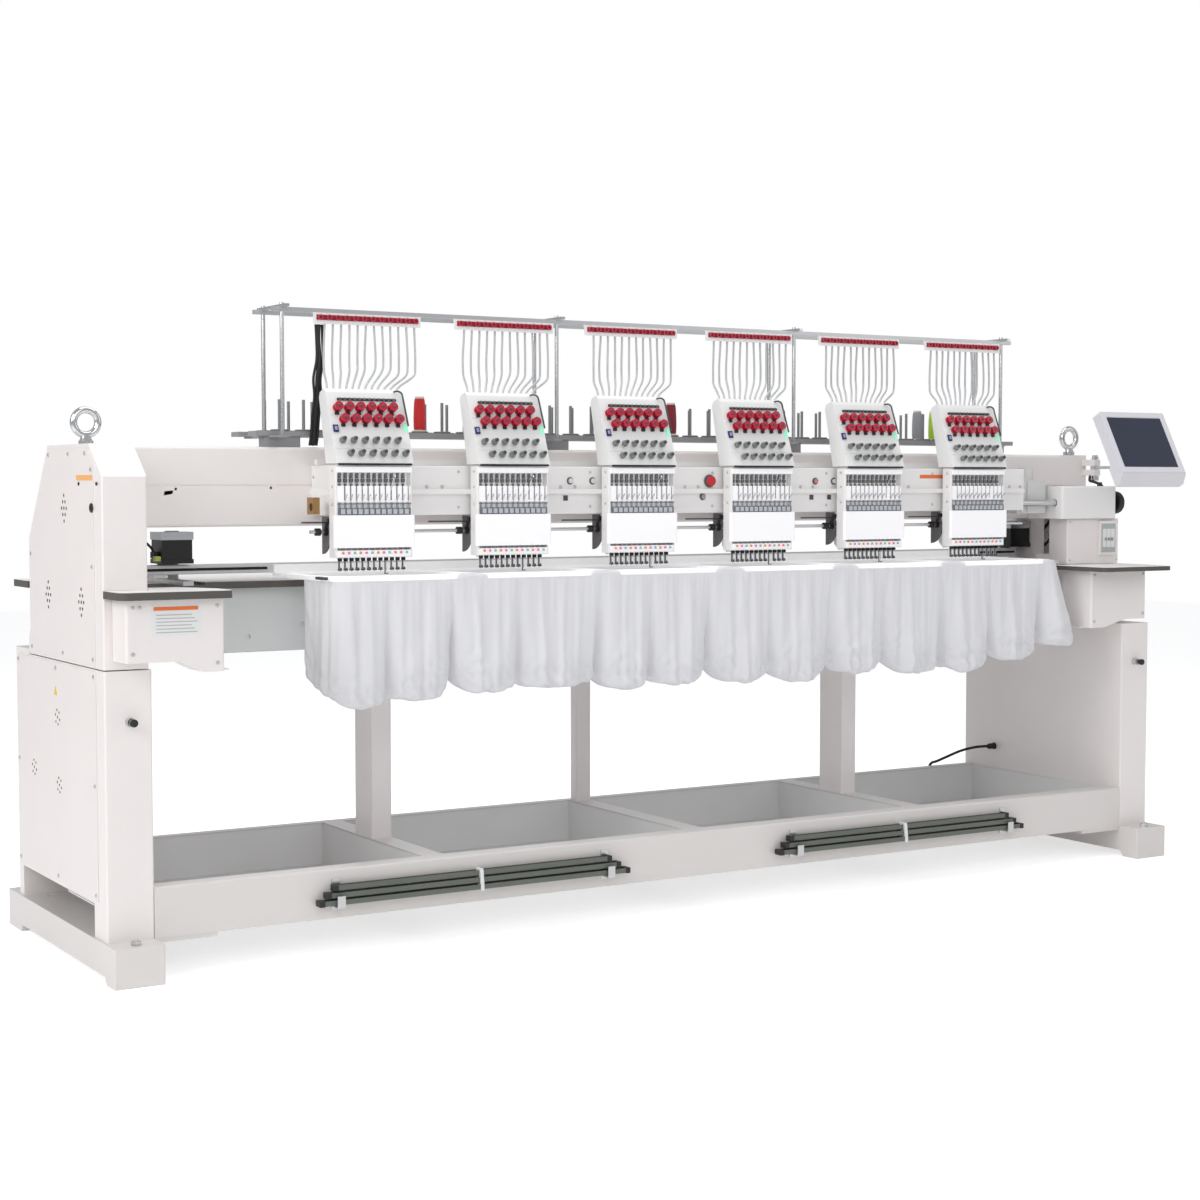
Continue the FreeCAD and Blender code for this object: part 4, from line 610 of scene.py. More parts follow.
BEZEL_Y = HOUSING_FRONT - 0.2
part = Part()
for x, z in ((-391, 1318), (-312, 1318), (535, 1318), (610, 1318), (93, 1269)):
    part.lathe((x, BEZEL_Y, z), FRONT, [(11.5, 0), (11.5, 1.5), (10.5, 2.4), (8.3, 2.4),
                                        (8.2, 0.5)], 24)
part.lathe((118, BEZEL_Y, 1318), FRONT, [(20.5, 0), (20.5, 2), (19, 3.2), (16.6, 3.2),
                                         (16.3, 0.5)], 28)
part.make("button_bezels", knob_grey)

part = Part()
for x in (-407, 520, 592):
    part.box(x - 8, x + 8, 243.6, HOUSING_FRONT, 1258, 1274)
part.make("button_marks", dark_steel, bevel=0.8)

# ------------------------------------------------------------------ needle cases, on the carriage
NEEDLES = 12
SEWING = 8                      # index of the needle in use
PARKED = [k for k in range(NEEDLES) if k != SEWING]
NEEDLE_OFFSETS = [18 * (k - 5.5) for k in range(NEEDLES)]
NEEDLE_Y = 205


def needle_xs(which=range(NEEDLES)):
    """X of the chosen needles in every case."""
    return [case + NEEDLE_OFFSETS[k] for case in CASES for k in which]


def case_boxes(name, mat, rows, bevel=0.0):
    """Boxes on every case; rows are x0, x1 from the case's middle, then y0, y1, z0, z1."""
    part = Part()
    for case in CASES:
        for x0, x1, *rest in rows:
            part.box(case + x0, case + x1, *rest)
    part.make(name, mat, CARRIAGE, bevel)


# the white back of each spring window glows a little: painted light that brightens it in the shade of the
# case
case_boxes("window_backs", surface("window_back_painted_glow", (0.86, 0.86, 0.87), rough=0.4,
                                   glow=((1.0, 1.0, 1.0), 0.25)),
           [(-113.5, 113.5, 211.5, 214, 1230, 1339.5)])
# plate with one slot to the right of each needle
edges = [-114, *(x + dx for x in NEEDLE_OFFSETS for dx in (6.4, 11.8)), 114]
case_boxes("slot_plates", cover_white,
           [(x0, x1, 187, 190.5, 1262, 1303) for x0, x1 in zip(edges[0::2], edges[1::2])]
           + [(-114, 114, 187, 190.5, 1256, 1262)], bevel=0.5)
case_boxes("guide_strips", surface("strip_slate", (0.15, 0.17, 0.20), rough=0.4),
           [(-113, 113, 182, 186.4, 1220.5, 1240), (-115, 115, 183, 186.4, 1250.5, 1253.5)],
           bevel=0.8)

for name, mat, coil in (
        ("springs_dark", dark_steel, dict(z0=1324, z1=1338, radius=4.9, wire=1.2, turns=4)),
        ("springs_light", steel, dict(z0=1264, z1=1301, radius=4.3, wire=0.7, turns=9))):
    part = Part()
    for x in needle_xs():
        part.spring(x, NEEDLE_Y, **coil)
    part.make(name, mat, CARRIAGE)

part = Part()
for x in needle_xs():
    part.lathe((x, NEEDLE_Y, 1312), UP, [(4, 0), (6.4, 1), (6.4, 10), (4, 11)], 14)
    part.lathe((x, NEEDLE_Y, 1302), UP, [(3.6, 0), (4.8, 1), (4.8, 5), (3.8, 6)], 14)
part.make("spring_cups", knob_grey, CARRIAGE)

case_boxes("reciprocator_blocks", surface("block_grey", (0.50, 0.52, 0.55), rough=0.4),
           [(x - 6.2, x + 6.2, 178.5, 183, 1223, 1237) for x in NEEDLE_OFFSETS], bevel=1.0)

# y, z outline of a take-up lever
LEVER = [(188, 1256), (193, 1254), (192, 1266), (174, 1280), (170, 1277), (182, 1266)]
part = Part()
for x in needle_xs(PARKED):
    part.prism(LEVER, x + 8, x + 9.6)
part.make("parked_takeup_levers", steel, CARRIAGE)

case_boxes("case_strips", cover_white, [(-117, 117, 181.5, 186.5, 1341, 1357),
                                        (-114, 114, 183, 190, 1103, 1121)], bevel=1.0)

for i, color in enumerate(((0.85, 0.28, 0.06), (0.85, 0.20, 0.38), (0.25, 0.55, 0.50))):
    part = Part()
    for x in needle_xs(range(i, NEEDLES, 3)):
        part.lathe((x, 181, 1110), UP, [(1.5, 0), (3.8, 1.2), (3.8, 6), (1.5, 7.2)], 10)
    part.make("thread_guides_%d" % (i + 1), surface("bead_%d" % i, color, rough=0.35),
              CARRIAGE)

part = Part()
for x in needle_xs(PARKED):
    part.lathe((x, NEEDLE_Y, 1063), UP, [(3.2, 0), (6.0, 0.8), (6.4, 4), (5.2, 8), (3.6, 9)],
               12)
    part.box(x - 1.6, x + 1.6, 208, 211, 1066, 1099)
part.make("parked_presser_feet", surface("foot_grey", (0.13, 0.13, 0.14), rough=0.35,
                                         metal=0.6), CARRIAGE)

for name, which, body in (("needle_clamps_parked", PARKED, CARRIAGE),
                          ("needle_clamps_sewing", [SEWING], "sewing_needle_bars")):
    part = Part()
    for x in needle_xs(which):
        part.lathe((x, NEEDLE_Y, 1089.6), UP, [(3.8, 0), (6.6, 0.8), (6.6, 9.2), (4, 10)], 8)
    part.make(name, black, body)

# ------------------------------------------------------------------ tension boxes, on the carriage
COLUMN_PITCH = 34
EYELET_S = 193
# x of the first column from the case's middle, s up the face
ROLLER_ROWS = [(-92, 167), (-78, 131)]
KNOB_ROWS = [(-94, 66), (-76, 27)]
# distance of the hub in front of the face, and its profile
ROLLER_HUB = (19.8, [(4.6, 0), (4.6, 1.4), (3.4, 2.2), (0.1, 2.2)])
KNOB_HUB = (27.4, [(5.4, -1), (5.4, 1.0), (4.2, 2.0), (0.1, 1.6)])


def face_blocks(name, mat, rows, bevel):
    """Blocks on every tension face; rows are x from the case's middle, then as on_face."""
    part = Part()
    for case in CASES:
        for x, *rest in rows:
            part.on_face(case + x, *rest)
    part.make(name, mat, CARRIAGE, bevel)


part = Part()
for case in CASES:
    part.on_face(case + 4, EYELET_S, 0.2, 4.5, 92, 3.6)
    part.box(case - 114, case + 114, 173.5, 179, 1360.5, 1366.5)
part.make("tension_dark_strips", black, CARRIAGE, bevel=0.8)

part = Part()
for case in CASES:
    for k in range(NEEDLES):
        part.face_lathe(case - 80 + 15.2 * k, EYELET_S, 4,
                        [(4.2, 0), (4.2, 2.2), (3.2, 3), (1.6, 2.6), (1.4, 0.5)], 12)
part.make("tension_eyelets", knob_grey, CARRIAGE)

face_blocks("head_switches", surface("switch_blue", (0.02, 0.015, 0.12), rough=0.35),
            [(-106, 104, 0.2, 5, 8, 11)], bevel=1.2)
face_blocks("head_switch_keys", surface("switch_key_blue", (0.30, 0.33, 0.50), rough=0.4),
            [(-106, 104, 4.8, 6.4, 4.2, 6)], bevel=1.0)
face_blocks("head_lamps", surface("led_green", (0.30, 0.75, 0.55), rough=0.3,
                                  glow=((0.15, 1.0, 0.55), 0.35)),
            [(111, 108, 0.2, 3, 5, 12)], bevel=0.8)

# hooked wire at the box's right edge: x from the case's middle, y, z
HOLD_WIRE = [(92, 250, 1572), (104, 246, 1574), (113, 240, 1568), (116, 236, 1552),
             (117, 224, 1520), (118, 206, 1474)]
part = Part()
for case in CASES:
    part.tube([(case + x, y, z) for x, y, z in HOLD_WIRE], 2.6)
part.make("tube_hold_wires", dark_steel, CARRIAGE)

face_blocks("tension_rims", box_white,
            [(0, 149, 0.2, 2.0, 116, 2.2), (0, 47, 0.2, 2.0, 116, 2.0)], bevel=0.6)
face_blocks("thread_sensors", black,
            [(x + COLUMN_PITCH * k - 4, s - 17, 0.2, 7, 6, 4.5)
             for k in range(6) for x, s in ROLLER_ROWS], bevel=1.2)

part = Part()
for case in CASES:
    for k in range(6):
        for rows, (out, profile) in ((ROLLER_ROWS, ROLLER_HUB), (KNOB_ROWS, KNOB_HUB)):
            for x, s in rows:
                part.face_lathe(case + x + COLUMN_PITCH * k, s, out, profile, 14)
part.make("roller_hubs", dark_steel, CARRIAGE)

part = Part()
for case in CASES:
    for z in (1250, 1300, 1345):
        part.screw(case + 120, 206, z, RIGHT, 3.5)
        part.screw(case - 120, 206, z, LEFT, 3.5)
part.make("case_screws", steel, CARRIAGE)

# ------------------------------------------------------------------ thread tubes, bent down to the sockets on the carriage
TUBE_TOP_Y, TUBE_TOP_Z = 342, 1766
SOCKET_Y, TUBE_END_Z = 276, 1574


def socket_x(case, k):
    return case - 103 + 19.6 * k


part = Part()
t = np.linspace(0, 1, 30)
for guide, case in zip(GUIDES, CASES):
    for k in range(NEEDLES):
        top_x = guide - 130 + 25.9 * k
        start_jitter, bow_jitter, depth_jitter = rng.uniform(-1, 1, 3)
        # straight down at first, then an S-bend to the socket; the outer tubes bend later
        start = 0.58 + 0.12 * abs(k - 5.5) / 5.5 + 0.03 * start_jitter
        bend = np.clip((t - start) / (1 - start), 0, 1)
        bend = bend * bend * (3 - 2 * bend)
        side = 1.0 if k > 5 else -1.0
        x = (top_x + (socket_x(case, k) - top_x) * bend
             + side * (1 + 2.5 * abs(bow_jitter)) * np.sin(math.pi * t) ** 2)
        y = (TUBE_TOP_Y + (SOCKET_Y - TUBE_TOP_Y) * bend ** 0.9
             + 4 * depth_jitter * np.sin(math.pi * t))
        z = TUBE_TOP_Z - (TUBE_TOP_Z - TUBE_END_Z) * t
        part.tube(np.stack([x, y, z], 1), 3.3)
tubes = part.make("thread_tube_bundles", tube_mat, None, slot="clear_tube")
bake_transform(tubes)
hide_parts("thread_tubes")

part = Part()
for case in CASES:
    for k in range(NEEDLES):
        part.lathe((socket_x(case, k), SOCKET_Y, 1571), (0, -0.2, 1),
                   [(5.6, -2), (5.6, 4), (4.2, 6), (3.1, 6)], 12)
part.make("tube_sockets", white_label, CARRIAGE)

# ------------------------------------------------------------------ cables
# x, share of the sideways spread, y, z of the cables that run down with the first head's tubes
HEAD_CABLE = [(-1163, 0, 352, 1764), (-1165, 1, 350, 1720), (-1160, 0, 354, 1665),
              (-1164, -1, 362, 1610), (-1160, 0, 372, 1560), (-1162, 0, 384, 1500),
              (-1160, 0, 398, 1450), (-1160, 0, 408, 1420)]
part = Part()
for dx, radius, spread in ((0, 6, 0), (11, 4.5, 2), (-9, 4, 3)):
    part.tube([(x + dx + share * spread, y, z) for x, share, y, z in HEAD_CABLE], radius, 10)
part.make("head_cables", soft_black)

loom = [(x, 566 + 3 * math.sin(x / 90), 1260 + 6 * math.sin(x / 170))
        for x in np.linspace(-1740, 1740, 120)]
part = Part()
part.tube(loom, 7, 10)
part.tube([(x, y + 2, z + 15 + 3 * math.sin(x / 60)) for x, y, z in loom], 5)
part.make("rear_cable_loom", soft_black)

part = Part()
for x in np.arange(-1700, 1701, 170):
    part.prism([(556.2, 1246), (576, 1246), (578, 1250), (578, 1286), (574, 1290),
                (556.2, 1290)], x - 6, x + 6)
part.make("loom_clips", white_label, bevel=1.0)

# mains cable from the right cabinet down to the floor, and its plug
MAINS = [(1756, 735, 320), (1720, 736, 321), (1680, 752, 318), (1645, 790, 303),
         (1618, 840, 276), (1604, 880, 256), (1598, 903, 247), (1594, 914, 225),
         (1590, 922, 150), (1588, 928, 40), (1560, 940, 8), (1460, 950, 6)]
part = Part()
part.tube(MAINS, 5, 10)
part.lathe((1761.8, 735, 320), LEFT, [(13, 0), (13, 3), (10.5, 5), (10.5, 26), (7, 34),
                                      (5.2, 36)])
part.make("mains_cable", soft_black)


# ------------------------------------------------------------------ thread cones
CONE_HEIGHT = 104


def spool_place(column, row):
    """X and Y of a spool pin; row 1 is the rear row, shifted right."""
    return -1249 + 75 * column + 8 * row, 440 + 130 * row


winding = [(15.7, 4)]
for t in np.linspace(0, 1, 60):
    z = 5 + 92 * t
    swell = 3.2 * math.sin(math.pi * t) ** 0.35
    winding.append((16.2 - 2.4 * (z / CONE_HEIGHT) + swell + 0.2 * math.sin(t * 150), z))
winding += [(14.6, 98), (14.0, 98)]
# column, row, colour name, colour
WINDINGS = [(6, 0, "red", (0.60, 0.02, 0.02)), (18, 0, "maroon", (0.22, 0.015, 0.03)),
            (33, 1, "grey", (0.32, 0.33, 0.35)), (34, 1, "lime", (0.50, 0.72, 0.06))]
for i, (column, row, color_name, color) in enumerate(WINDINGS):
    Part().lathe((*spool_place(column, row), 1465.4), UP, winding, 36).make(
        "thread_winding_%d" % (i + 1), fabric("thread_" + color_name, color, through=0.03),
        slot="thread_colours")

part = Part()
for column in range(36):
    for row in (0, 1):
        part.lathe((*spool_place(column, row), 1460.2), UP,
                   [(25, 0), (26, 1.5), (26, 4.2), (23, 5.6), (5.2, 5.6)])
part.make("spool_pads", surface("felt_grey", (0.22, 0.22, 0.22), rough=0.9, bump=(250, 0.4)))

# ------------------------------------------------------------------ pantograph belts and chains
# toothed belts in the beam groove, at both ends
part = Part()
for x0, x1 in ((-1630, -1268), (1262, 1630)):
    part.box(x0, x1, 493.6, 496.4, 1060.5, 1067.5)
    for x in np.arange(x0 + 3, x1 - 3, 8.0):
        part.box(x, x + 4, 491.6, 494, 1060.5, 1067.5)
part.make("x_drive_belts", soft_black, "pantograph_y")

part = Part()
for x in (-1556, 1556):
    for k in range(16):
        y = 250 + 14 * k
        part.box(x - 6, x + 6, y + 1, y + 12, 1030.6, 1039)
        part.box(x - 4, x + 4, y - 2, y + 3, 1032, 1038)
part.make("cable_chains", black, bevel=1.0)

# ------------------------------------------------------------------ operator panel
PANEL_X, PANEL_Y, PANEL_Z = 1885, 60, 1346      # bottom middle of the panel's face
PANEL_TILT = math.radians(28)


def corner_arcs(x0, x1, y0, y1, radius, steps):
    """Rounded rectangle, with steps points on each corner."""
    points = []
    for cx, cy, first in ((x1 - radius, y1 - radius, 0), (x0 + radius, y1 - radius, 90),
                          (x0 + radius, y0 + radius, 180), (x1 - radius, y0 + radius, 270)):
        for k in range(steps):
            a = math.radians(first + 90 * k / (steps - 1))
            points.append((cx + radius * math.cos(a), cy + radius * math.sin(a)))
    return points


def panel_point(x, y, z):
    """Panel-local (x across, y into the panel, z up its face) to machine mm."""
    return (PANEL_X + x, PANEL_Y + y * math.cos(PANEL_TILT) + z * math.sin(PANEL_TILT),
            PANEL_Z - y * math.sin(PANEL_TILT) + z * math.cos(PANEL_TILT))


def panel_plate(part, x0, x1, z0, z1, y0, y1, radius):
    outline = corner_arcs(x0, x1, z0, z1, radius, 5)
    n = len(outline)
    faces = [tuple(range(n))[::-1], tuple(range(n, 2 * n))]
    faces += [(i, (i + 1) % n, (i + 1) % n + n, i + n) for i in range(n)]
    return part.add([panel_point(x, y, z) for y in (y1, y0) for x, z in outline], faces)


panel_plate(Part(), -131.5, 131.5, 26.6, 223.6, 0.15, 0.6, 3).make(
    "panel_glass", surface("screen_navy", (0.012, 0.018, 0.045), rough=0.16, coat=0.4,
                           vary=0.25), "panel_unit", bevel=0.2)

part = Part()
for x0, x1, z0, z1 in ((-152, -133.5, 4, 242), (133.5, 152, 4, 242), (-133, 133, 225.6, 242),
                       (-133, 133, 4, 24.6)):
    panel_plate(part, x0, x1, z0, z1, -1.6, 0.2, 2.0)
part.make("panel_bezel", panel_white, "panel_unit", bevel=0.8)

# painted shade: thin black strips stand for the shade inside the vent slots on the panel's back
part = Part()
for k in range(9):
    z = 150 + 7 * k
    panel_plate(part, -70, 70, z, z + 3, 38.0, 38.6, 1.2)
part.make("panel_rear_vent_shade", black, "panel_unit")

# cable from the panel's arm to the control box
part = Part()
part.tube([(1862, 352, 1338), (1850, 340, 1322), (1846, 318, 1318), (1850, 300, 1312),
           (1852, 290, 1303)], 5, 10)
part.lathe((1852, 290, 1302), UP, [(11, 0), (11, 3), (8, 6), (6, 14)], 18)
part.make("panel_cable", soft_black)

# ------------------------------------------------------------------ handwheel
WHEEL_Y, WHEEL_Z, GRIP_RADIUS = 264, 1243, 38.4
part = Part()
for k in range(24):
    a = 2 * math.pi * k / 24
    y, z = WHEEL_Y + GRIP_RADIUS * math.cos(a), WHEEL_Z + GRIP_RADIUS * math.sin(a)
    part.tube([(x, y, z) for x in (1888, 1898, 1908)], 1.8, 6)
part.make("handwheel_grips", black, "main_shaft_unit")
Part().lathe((1909.6, WHEEL_Y, WHEEL_Z), RIGHT, [(20, 0), (20, 1.0), (16, 2.2), (0.1, 2.2)],
             24).make("handwheel_cap", chrome, "main_shaft_unit")

# ------------------------------------------------------------------ control box and motors
# painted shade: thin black strips stand for the shade inside the vent slots of the control box
part = Part()
for k in range(8):
    part.box(1895.8, 1896.6, 262, 372, 1062 + 9 * k, 1066 + 9 * k)
part.make("control_box_vent_shade", black)

Part().box(1803, 1871, 229.6, 231.2, 1066, 1168).make(
    "breaker_window", surface("window_slate", (0.42, 0.47, 0.46), rough=0.3), bevel=0.5)
part = Part()
for k in range(3):
    part.box(1808 + 20 * k, 1826 + 20 * k, 228.2, 229.8, 1084, 1150)
part.make("breaker_bodies", white_label, bevel=0.6)

MOTOR_SIDES = [(-1598, -1), (1684, 1)]      # x of the outer side, outward direction
# outward distance, y, z of a motor's lead
LEAD = [(8, 510, 1114), (14, 512, 1128), (34, 520, 1146), (66, 534, 1160), (92, 548, 1164)]
part = Part()
for x, out in MOTOR_SIDES:
    part.box(*sorted((x - out, x + out * 12)), 495, 525, 1098, 1116)
    part.tube([(x + out * reach, y, z) for reach, y, z in LEAD], 4)
part.make("motor_leads", soft_black)
part = Part()
for x, out in MOTOR_SIDES:
    part.box(*sorted((x - out * 0.5, x + out * 16)), 470, 492, 1090, 1104)
part.make("motor_plugs", surface("plug_lime", (0.45, 0.50, 0.10), rough=0.5), bevel=0.8)

# ------------------------------------------------------------------ cloth stretched in the hoops
HOOP_HALF_WIDTH, HOOP_FRONT, HOOP_BACK, HOOP_CORNER = 216, 97, 466, 62
# scale about the hoop's middle, z: up the outside, over the rim and down to the flat
CLOTH_RINGS = [(1.0, 1037), (1.0, 1049), (0.985, 1051.6), (0.955, 1052), (0.925, 1047.5),
               (0.85, 1043.2), (0.7, 1042.3), (0.5, 1042.1), (0.3, 1042.0), (0.12, 1042.0)]


def hoop_outline():
    """Rounded rectangle with its sides cut into steps of 16 mm or more."""
    corners = corner_arcs(-HOOP_HALF_WIDTH, HOOP_HALF_WIDTH, HOOP_FRONT, HOOP_BACK,
                          HOOP_CORNER, 10)
    outline = []
    for i, corner in enumerate(corners):
        p, q = np.array(corner), np.array(corners[(i + 1) % len(corners)])
        steps = max(1, int(np.linalg.norm(q - p) / 16))
        outline += [tuple(p + (q - p) * k / steps) for k in range(steps)]
    return outline


outline = hoop_outline()
n, rings = len(outline), len(CLOTH_RINGS)
middle_y = (HOOP_FRONT + HOOP_BACK) / 2
faces = ring_quads(rings, n) + [tuple(range((rings - 1) * n, rings * n))]
part = Part()
for head in HEADS:
    verts = []
    for scale, z in CLOTH_RINGS:
        for j, (x, y) in enumerate(outline):
            wobble = 0.5 * math.sin(j * 0.9 + head) + 0.4 * math.sin(j * 2.3)
            verts.append((head + x * scale, middle_y + (y - middle_y) * scale,
                          z + (0.4 * wobble if 0.6 < scale < 0.96 else 0)))
    part.add(verts, faces)
part.make("hooped_cloth", cloth_top, "pantograph_x", slot="bag_fabric")

# ------------------------------------------------------------------ hanging fabric
# Plan of its top line: from the back left round the front to the back right
SKIRT_LEFT, SKIRT_RIGHT, SKIRT_FRONT, SKIRT_BACK = HEADS[0] - 212, 1488, 101, 300
CORNER = 58
SIDE_RUN = SKIRT_BACK - (SKIRT_FRONT + CORNER)
ARC_RUN = math.pi * CORNER / 2
FRONT_RUN = SKIRT_RIGHT - SKIRT_LEFT - 2 * CORNER
SKIRT_RUN = 2 * SIDE_RUN + math.pi * CORNER + FRONT_RUN
COLS, ROWS = int(SKIRT_RUN / 8.0), 52
SKIRT_TOP = 1046
ROLL = 24.0                     # radius of the turned-in lower edge
# Lower edge along the front: x and z of each valley, and how deep it is pinched in
VALLEYS = [(-1242, 738, 0.35), (-1064, 716, 0.5), (-858, 771, 1.0), (-646, 739, 0.45),
           (-372, 742, 1.0), (-188, 729, 0.5), (32, 764, 1.0), (260, 739, 0.5),
           (497, 748, 1.0), (714, 772, 0.6), (968, 722, 1.0), (1165, 763, 0.6),
           (1391, 778, 0.9), (1520, 800, 0.3)]
# lowest z of the lobe after each valley
LOWS = [690, 703, 714, 718, 700, 704, 699, 690, 705, 696, 692, 720, 764]
phase = rng.uniform(0, 6.28, 16)


def clamp(value):
    return max(0.0, min(1.0, value))


def skirt_plan(u):
    """Point of the top line at arc length u, and its outward normal."""
    if u < SIDE_RUN:
        return SKIRT_LEFT, SKIRT_BACK - u, -1.0, 0.0
    u -= SIDE_RUN
    if u < ARC_RUN:
        c, s = math.cos(u / CORNER), math.sin(u / CORNER)
        return (SKIRT_LEFT + CORNER - CORNER * c, SKIRT_FRONT + CORNER - CORNER * s, -c, -s)
    u -= ARC_RUN
    if u < FRONT_RUN:
        return SKIRT_LEFT + CORNER + u, SKIRT_FRONT, 0.0, -1.0
    u -= FRONT_RUN
    if u < ARC_RUN:
        c, s = math.cos(u / CORNER), math.sin(u / CORNER)
        return (SKIRT_RIGHT - CORNER + CORNER * s, SKIRT_FRONT + CORNER - CORNER * c, s, -c)
    u -= ARC_RUN
    return SKIRT_RIGHT, SKIRT_FRONT + CORNER + u, 1.0, 0.0


def lower_edge(x):
    """Height of the lower edge, fullness of the lobe and pinch of the valleys at x."""
    for q, lowest in enumerate(LOWS):
        (xa, za, deep_a), (xb, zb, deep_b) = VALLEYS[q:q + 2]
        if x <= xb:
            break
    t = (x - xa) / (xb - xa)
    lobe = math.sqrt(max(0.0, 1 - (2 * t - 1) ** 2))
    valley_z = za + (zb - za) * t
    pinch = deep_a * (1 - t) ** 3 + deep_b * t ** 3
    return valley_z + (lowest - valley_z) * lobe ** 0.8, lobe, pinch


def crease(x, z):
    """Folds fanning out from each valley."""
    total = 0.0
    for q, (valley_x, valley_z, deep) in enumerate(VALLEYS):
        ex, ez = x - valley_x, z - (valley_z + 10)
        far = math.hypot(ex, ez)
        if far < 260:
            total += ((0.4 + 0.6 * deep) * 6.5 * math.exp(-far / 95) * min(1, far / 22)
                      * math.sin((11 + q % 3) * math.atan2(ex, ez) + phase[3 + q % 8]))
    return total


def skirt_point(i, j):
    """Vertex of column i in row j; row 0 lies on the hoops, the last is the inner hem."""
    u = SKIRT_RUN * i / COLS
    x, y, nx, ny = skirt_plan(u)
    side = abs(nx)
    if j == 0:
        inset = 14 + (52 * side if x > 0 else 0)
        return x - nx * inset, y - ny * inset, 1051.5
    low, lobe, pinch = lower_edge(x)
    back = clamp((y - SKIRT_FRONT - CORNER) / SIDE_RUN)
    low += side * back * (40 if x < 0 else 25)
    if x >= 0:
        lobe = lobe * (1 - side) + side * 0.9

    # down the straight drop, round the roll, then up inside
    v = j / ROWS
    straight = SKIRT_TOP - (low + ROLL)
    total = straight + math.pi * ROLL + 30
    run = max(0.0, v - 1 / ROWS) * total * ROWS / (ROWS - 1)
    if run <= straight:
        z, inward = SKIRT_TOP - run, 0.0
    elif run <= straight + math.pi * ROLL:
        t = (run - straight) / ROLL
        z, inward = low + ROLL - ROLL * math.sin(t), ROLL * (1 - math.cos(t))
    else:
        rise = run - straight - math.pi * ROLL
        z, inward = low + ROLL + rise * 0.9, 2 * ROLL + rise * 0.3

    grow = clamp((run / straight - 0.05) / 0.85)
    grow = grow * grow * (3 - 2 * grow)
    drop = min(1.0, run / straight)
    hem = clamp((run / straight - 0.72) / 0.28)
    flare = (84 if x > 0 else 4) * side
    bulge = grow * (lobe * 34 * (1 - side) - pinch * 46 * (1 - side)) + drop * flare
    wave = (1.0 + 6.5 * drop) * (
        0.55 * math.sin(2 * math.pi * u / 97 + 1.6 * math.sin(u / 150 + phase[0]))
        + 0.40 * math.sin(2 * math.pi * u / 53 + 2.1 * math.sin(u / 230 + phase[1]) + 1.3 * v)
        + 0.34 * math.sin(2 * math.pi * u / 29 + 5 * v
                          + 1.7 * math.sin(u / 90 + phase[2])) * drop)
    folds = crease(x, z) if side < 0.9 else 0.0
    crumple = hem * (3.2 * math.sin(u / 11.0 + 0.05 * z + phase[5])
                     * math.sin(z / 13.0 + u / 37 + phase[6])
                     + 2.2 * math.sin(u / 6.3 + z / 9.0 + phase[7]))
    long_pull = (3.6 * grow * math.sin((x - z * 0.55) / 21 + phase[9])
                 * (0.3 + 0.7 * abs(math.sin(x / 260 + phase[10]))))
    off = bulge + wave + folds + crumple + long_pull - inward
    if j == 1:
        off, z = off * 0.4, 1049.5
    return x + nx * off, y + ny * off, z + 2.5 * hem * math.sin(u / 14 + phase[4])


WIDE = COLS + 1
skirt = Part().add(
    [skirt_point(i, j) for j in range(ROWS + 1) for i in range(WIDE)],
    [(j * WIDE + i, j * WIDE + i + 1, (j + 1) * WIDE + i + 1, (j + 1) * WIDE + i)
     for j in range(ROWS) for i in range(COLS)]
).make("hanging_fabric", cloth_mat, None, slot="bag_fabric")

# a light, slightly growing cloth (negative shrink)
CLOTH = dict(quality=5, mass=0.12, tension_stiffness=12, compression_stiffness=12,
             shear_stiffness=4, bending_stiffness=0.12, tension_damping=8, air_damping=2,
             vertex_group_mass="held", shrink_min=-0.045)


def drape(obj, frames, cap):
    """Short cloth simulation with all four borders held; no vertex moves more than cap metres."""
    scene = bpy.context.scene
    rest = np.array([v.co for v in obj.data.vertices], float)
    held = obj.vertex_groups.new(name="held")
    held.add(list(range(3 * WIDE)), 1.0, "REPLACE")
    held.add(list(range(ROWS * WIDE, (ROWS + 1) * WIDE)), 1.0, "REPLACE")
    for j in range(ROWS + 1):
        held.add([j * WIDE, j * WIDE + COLS], 1.0, "REPLACE")
    cloth = obj.modifiers.new("cloth", "CLOTH")
    for setting, value in CLOTH.items():
        setattr(cloth.settings, setting, value)
    cloth.collision_settings.use_collision = False
    cloth.collision_settings.use_self_collision = False
    cloth.point_cache.frame_start, cloth.point_cache.frame_end = 1, frames
    scene.frame_start, scene.frame_end = 1, frames
    for step in range(1, frames + 1):
        scene.frame_set(step)
    settled = obj.evaluated_get(bpy.context.evaluated_depsgraph_get())
    moved = np.array([v.co for v in settled.data.vertices], float)
    obj.modifiers.remove(cloth)
    scene.frame_set(1)
    # keeps the drawn shape if the simulation blows up
    if np.isfinite(moved).all():
        shift = moved - rest
        length = np.linalg.norm(shift, axis=1)
        shift *= np.minimum(1.0, cap / np.maximum(length, 1e-9))[:, None]
        obj.data.vertices.foreach_set("co", (rest + shift).astype(np.float32).ravel())
        obj.data.update()
    obj.vertex_groups.clear()


drape(skirt, frames=24, cap=0.012)
fine = skirt.modifiers.new("fine", "SUBSURF")
fine.levels = fine.render_levels = 1
skirt.modifiers.new("cloth_thickness", "SOLIDIFY").thickness = 0.0009
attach(skirt, "pantograph_x")
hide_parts("fabric_bags")

# ------------------------------------------------------------------ floor (scene metres from here on)
mesh = bpy.data.meshes.new("floor")
mesh.from_pydata([(-14, -12, 0), (14, -12, 0), (14, 16, 0), (-14, 16, 0)], [], [(0, 1, 2, 3)])
floor = bpy.data.objects.new("floor", mesh)
bpy.context.scene.collection.objects.link(floor)
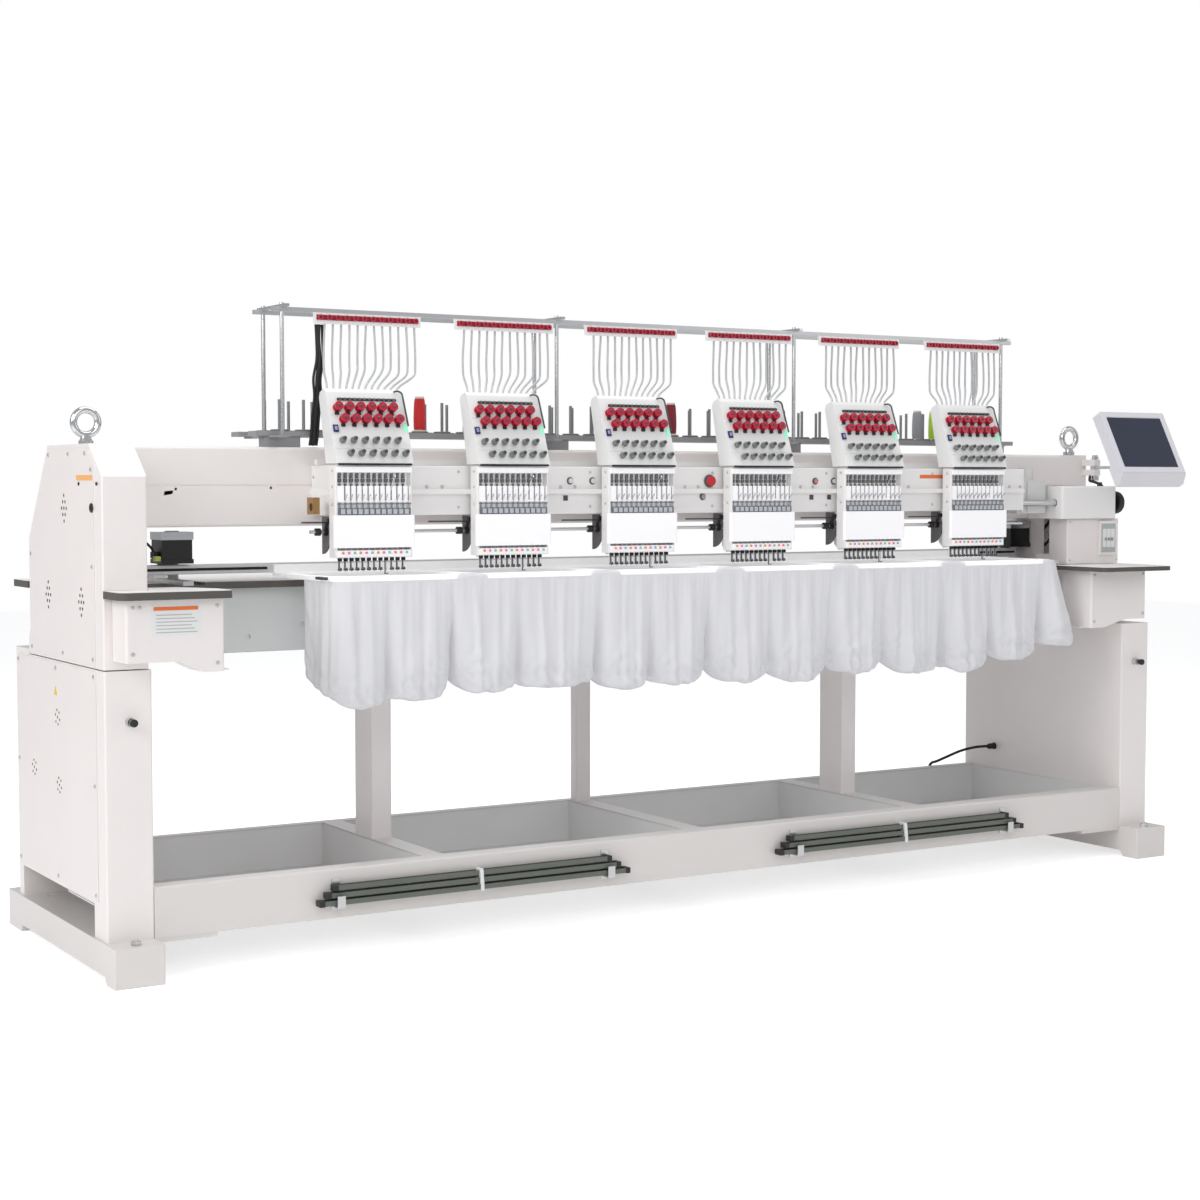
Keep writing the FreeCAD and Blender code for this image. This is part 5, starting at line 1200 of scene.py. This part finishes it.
# the glow's strength is driven by the link below: brighter to the camera than to the machine
floor_mat = surface("floor_pale", (0.92, 0.92, 0.92), rough=0.6, vary=0.0,
                    glow=((1.0, 1.0, 1.0), 0.3))
tree = floor_mat.node_tree
strength = add_node(tree, "MapRange", To_Min=0.14, To_Max=0.52)
tree.links.new(add_node(tree, "LightPath").outputs["Is Camera Ray"], strength.inputs["Value"])
tree.links.new(strength.outputs[0],
               tree.nodes["Principled BSDF"].inputs["Emission Strength"])
mesh.materials.append(floor_mat)
floor.location.z = -0.0005

# ------------------------------------------------------------------ world: soft light, seen as white
world = bpy.data.worlds.new("studio")
bpy.context.scene.world = world
world.use_nodes = True
tree = world.node_tree
ambient = tree.nodes["Background"]
ambient.inputs["Color"].default_value = (0.97, 0.98, 1.0, 1)
ambient.inputs["Strength"].default_value = 0.48
seen = add_node(tree, "Background", Color=(1, 1, 1, 1), Strength=1.0)
mix = add_node(tree, "MixShader")
tree.links.new(add_node(tree, "LightPath").outputs["Is Camera Ray"], mix.inputs[0])
tree.links.new(ambient.outputs[0], mix.inputs[1])
tree.links.new(seen.outputs[0], mix.inputs[2])
tree.links.new(mix.outputs[0], tree.nodes["World Output"].inputs["Surface"])


# ------------------------------------------------------------------ lights and camera
def area(name, place, target, size, energy):
    """Rectangular light aimed at target; size is width, height."""
    light = bpy.data.lights.new(name, "AREA")
    light.shape = "RECTANGLE"
    light.size, light.size_y = size
    light.energy = energy
    obj = bpy.data.objects.new(name, light)
    obj.location = place
    obj.rotation_euler = (Vector(target) - Vector(place)).to_track_quat("-Z", "Y").to_euler()
    bpy.context.scene.collection.objects.link(obj)


area("key", place=(-6.2, -1.8, 3.6), target=(0, 0, 0.9), size=(3.0, 3.0), energy=142)
area("front", place=(-2.6, -6.0, 3.6), target=(0, 0, 0.9), size=(3.5, 3.0), energy=60)
area("fill", place=(4.5, -4.5, 3.2), target=(0, 0, 0.8), size=(3.5, 3.0), energy=28)
area("top", place=(0, -0.4, 5.2), target=(0, 0, 0.5), size=(5.0, 2.5), energy=92)
area("rear", place=(1.5, 5.5, 3.8), target=(0, 0, 0.9), size=(3.5, 2.5), energy=38)

CAMERA_PLACE = (-3595, -5191, 1302)     # machine mm
LOOK_DOWN, TURN_RIGHT = 3.13, 31.34     # degrees
lens = bpy.data.cameras.new("camera")
lens.sensor_width = 36.0
lens.sensor_fit = "HORIZONTAL"
lens.lens = 62.49
lens.clip_end = 100
camera = bpy.data.objects.new("camera", lens)
camera.location = to_scene(*CAMERA_PLACE)
camera.rotation_euler = (math.radians(90 - LOOK_DOWN), 0, math.radians(-TURN_RIGHT))
bpy.context.scene.collection.objects.link(camera)
bpy.context.scene.camera = camera
bpy.context.scene.view_settings.view_transform = "Standard"
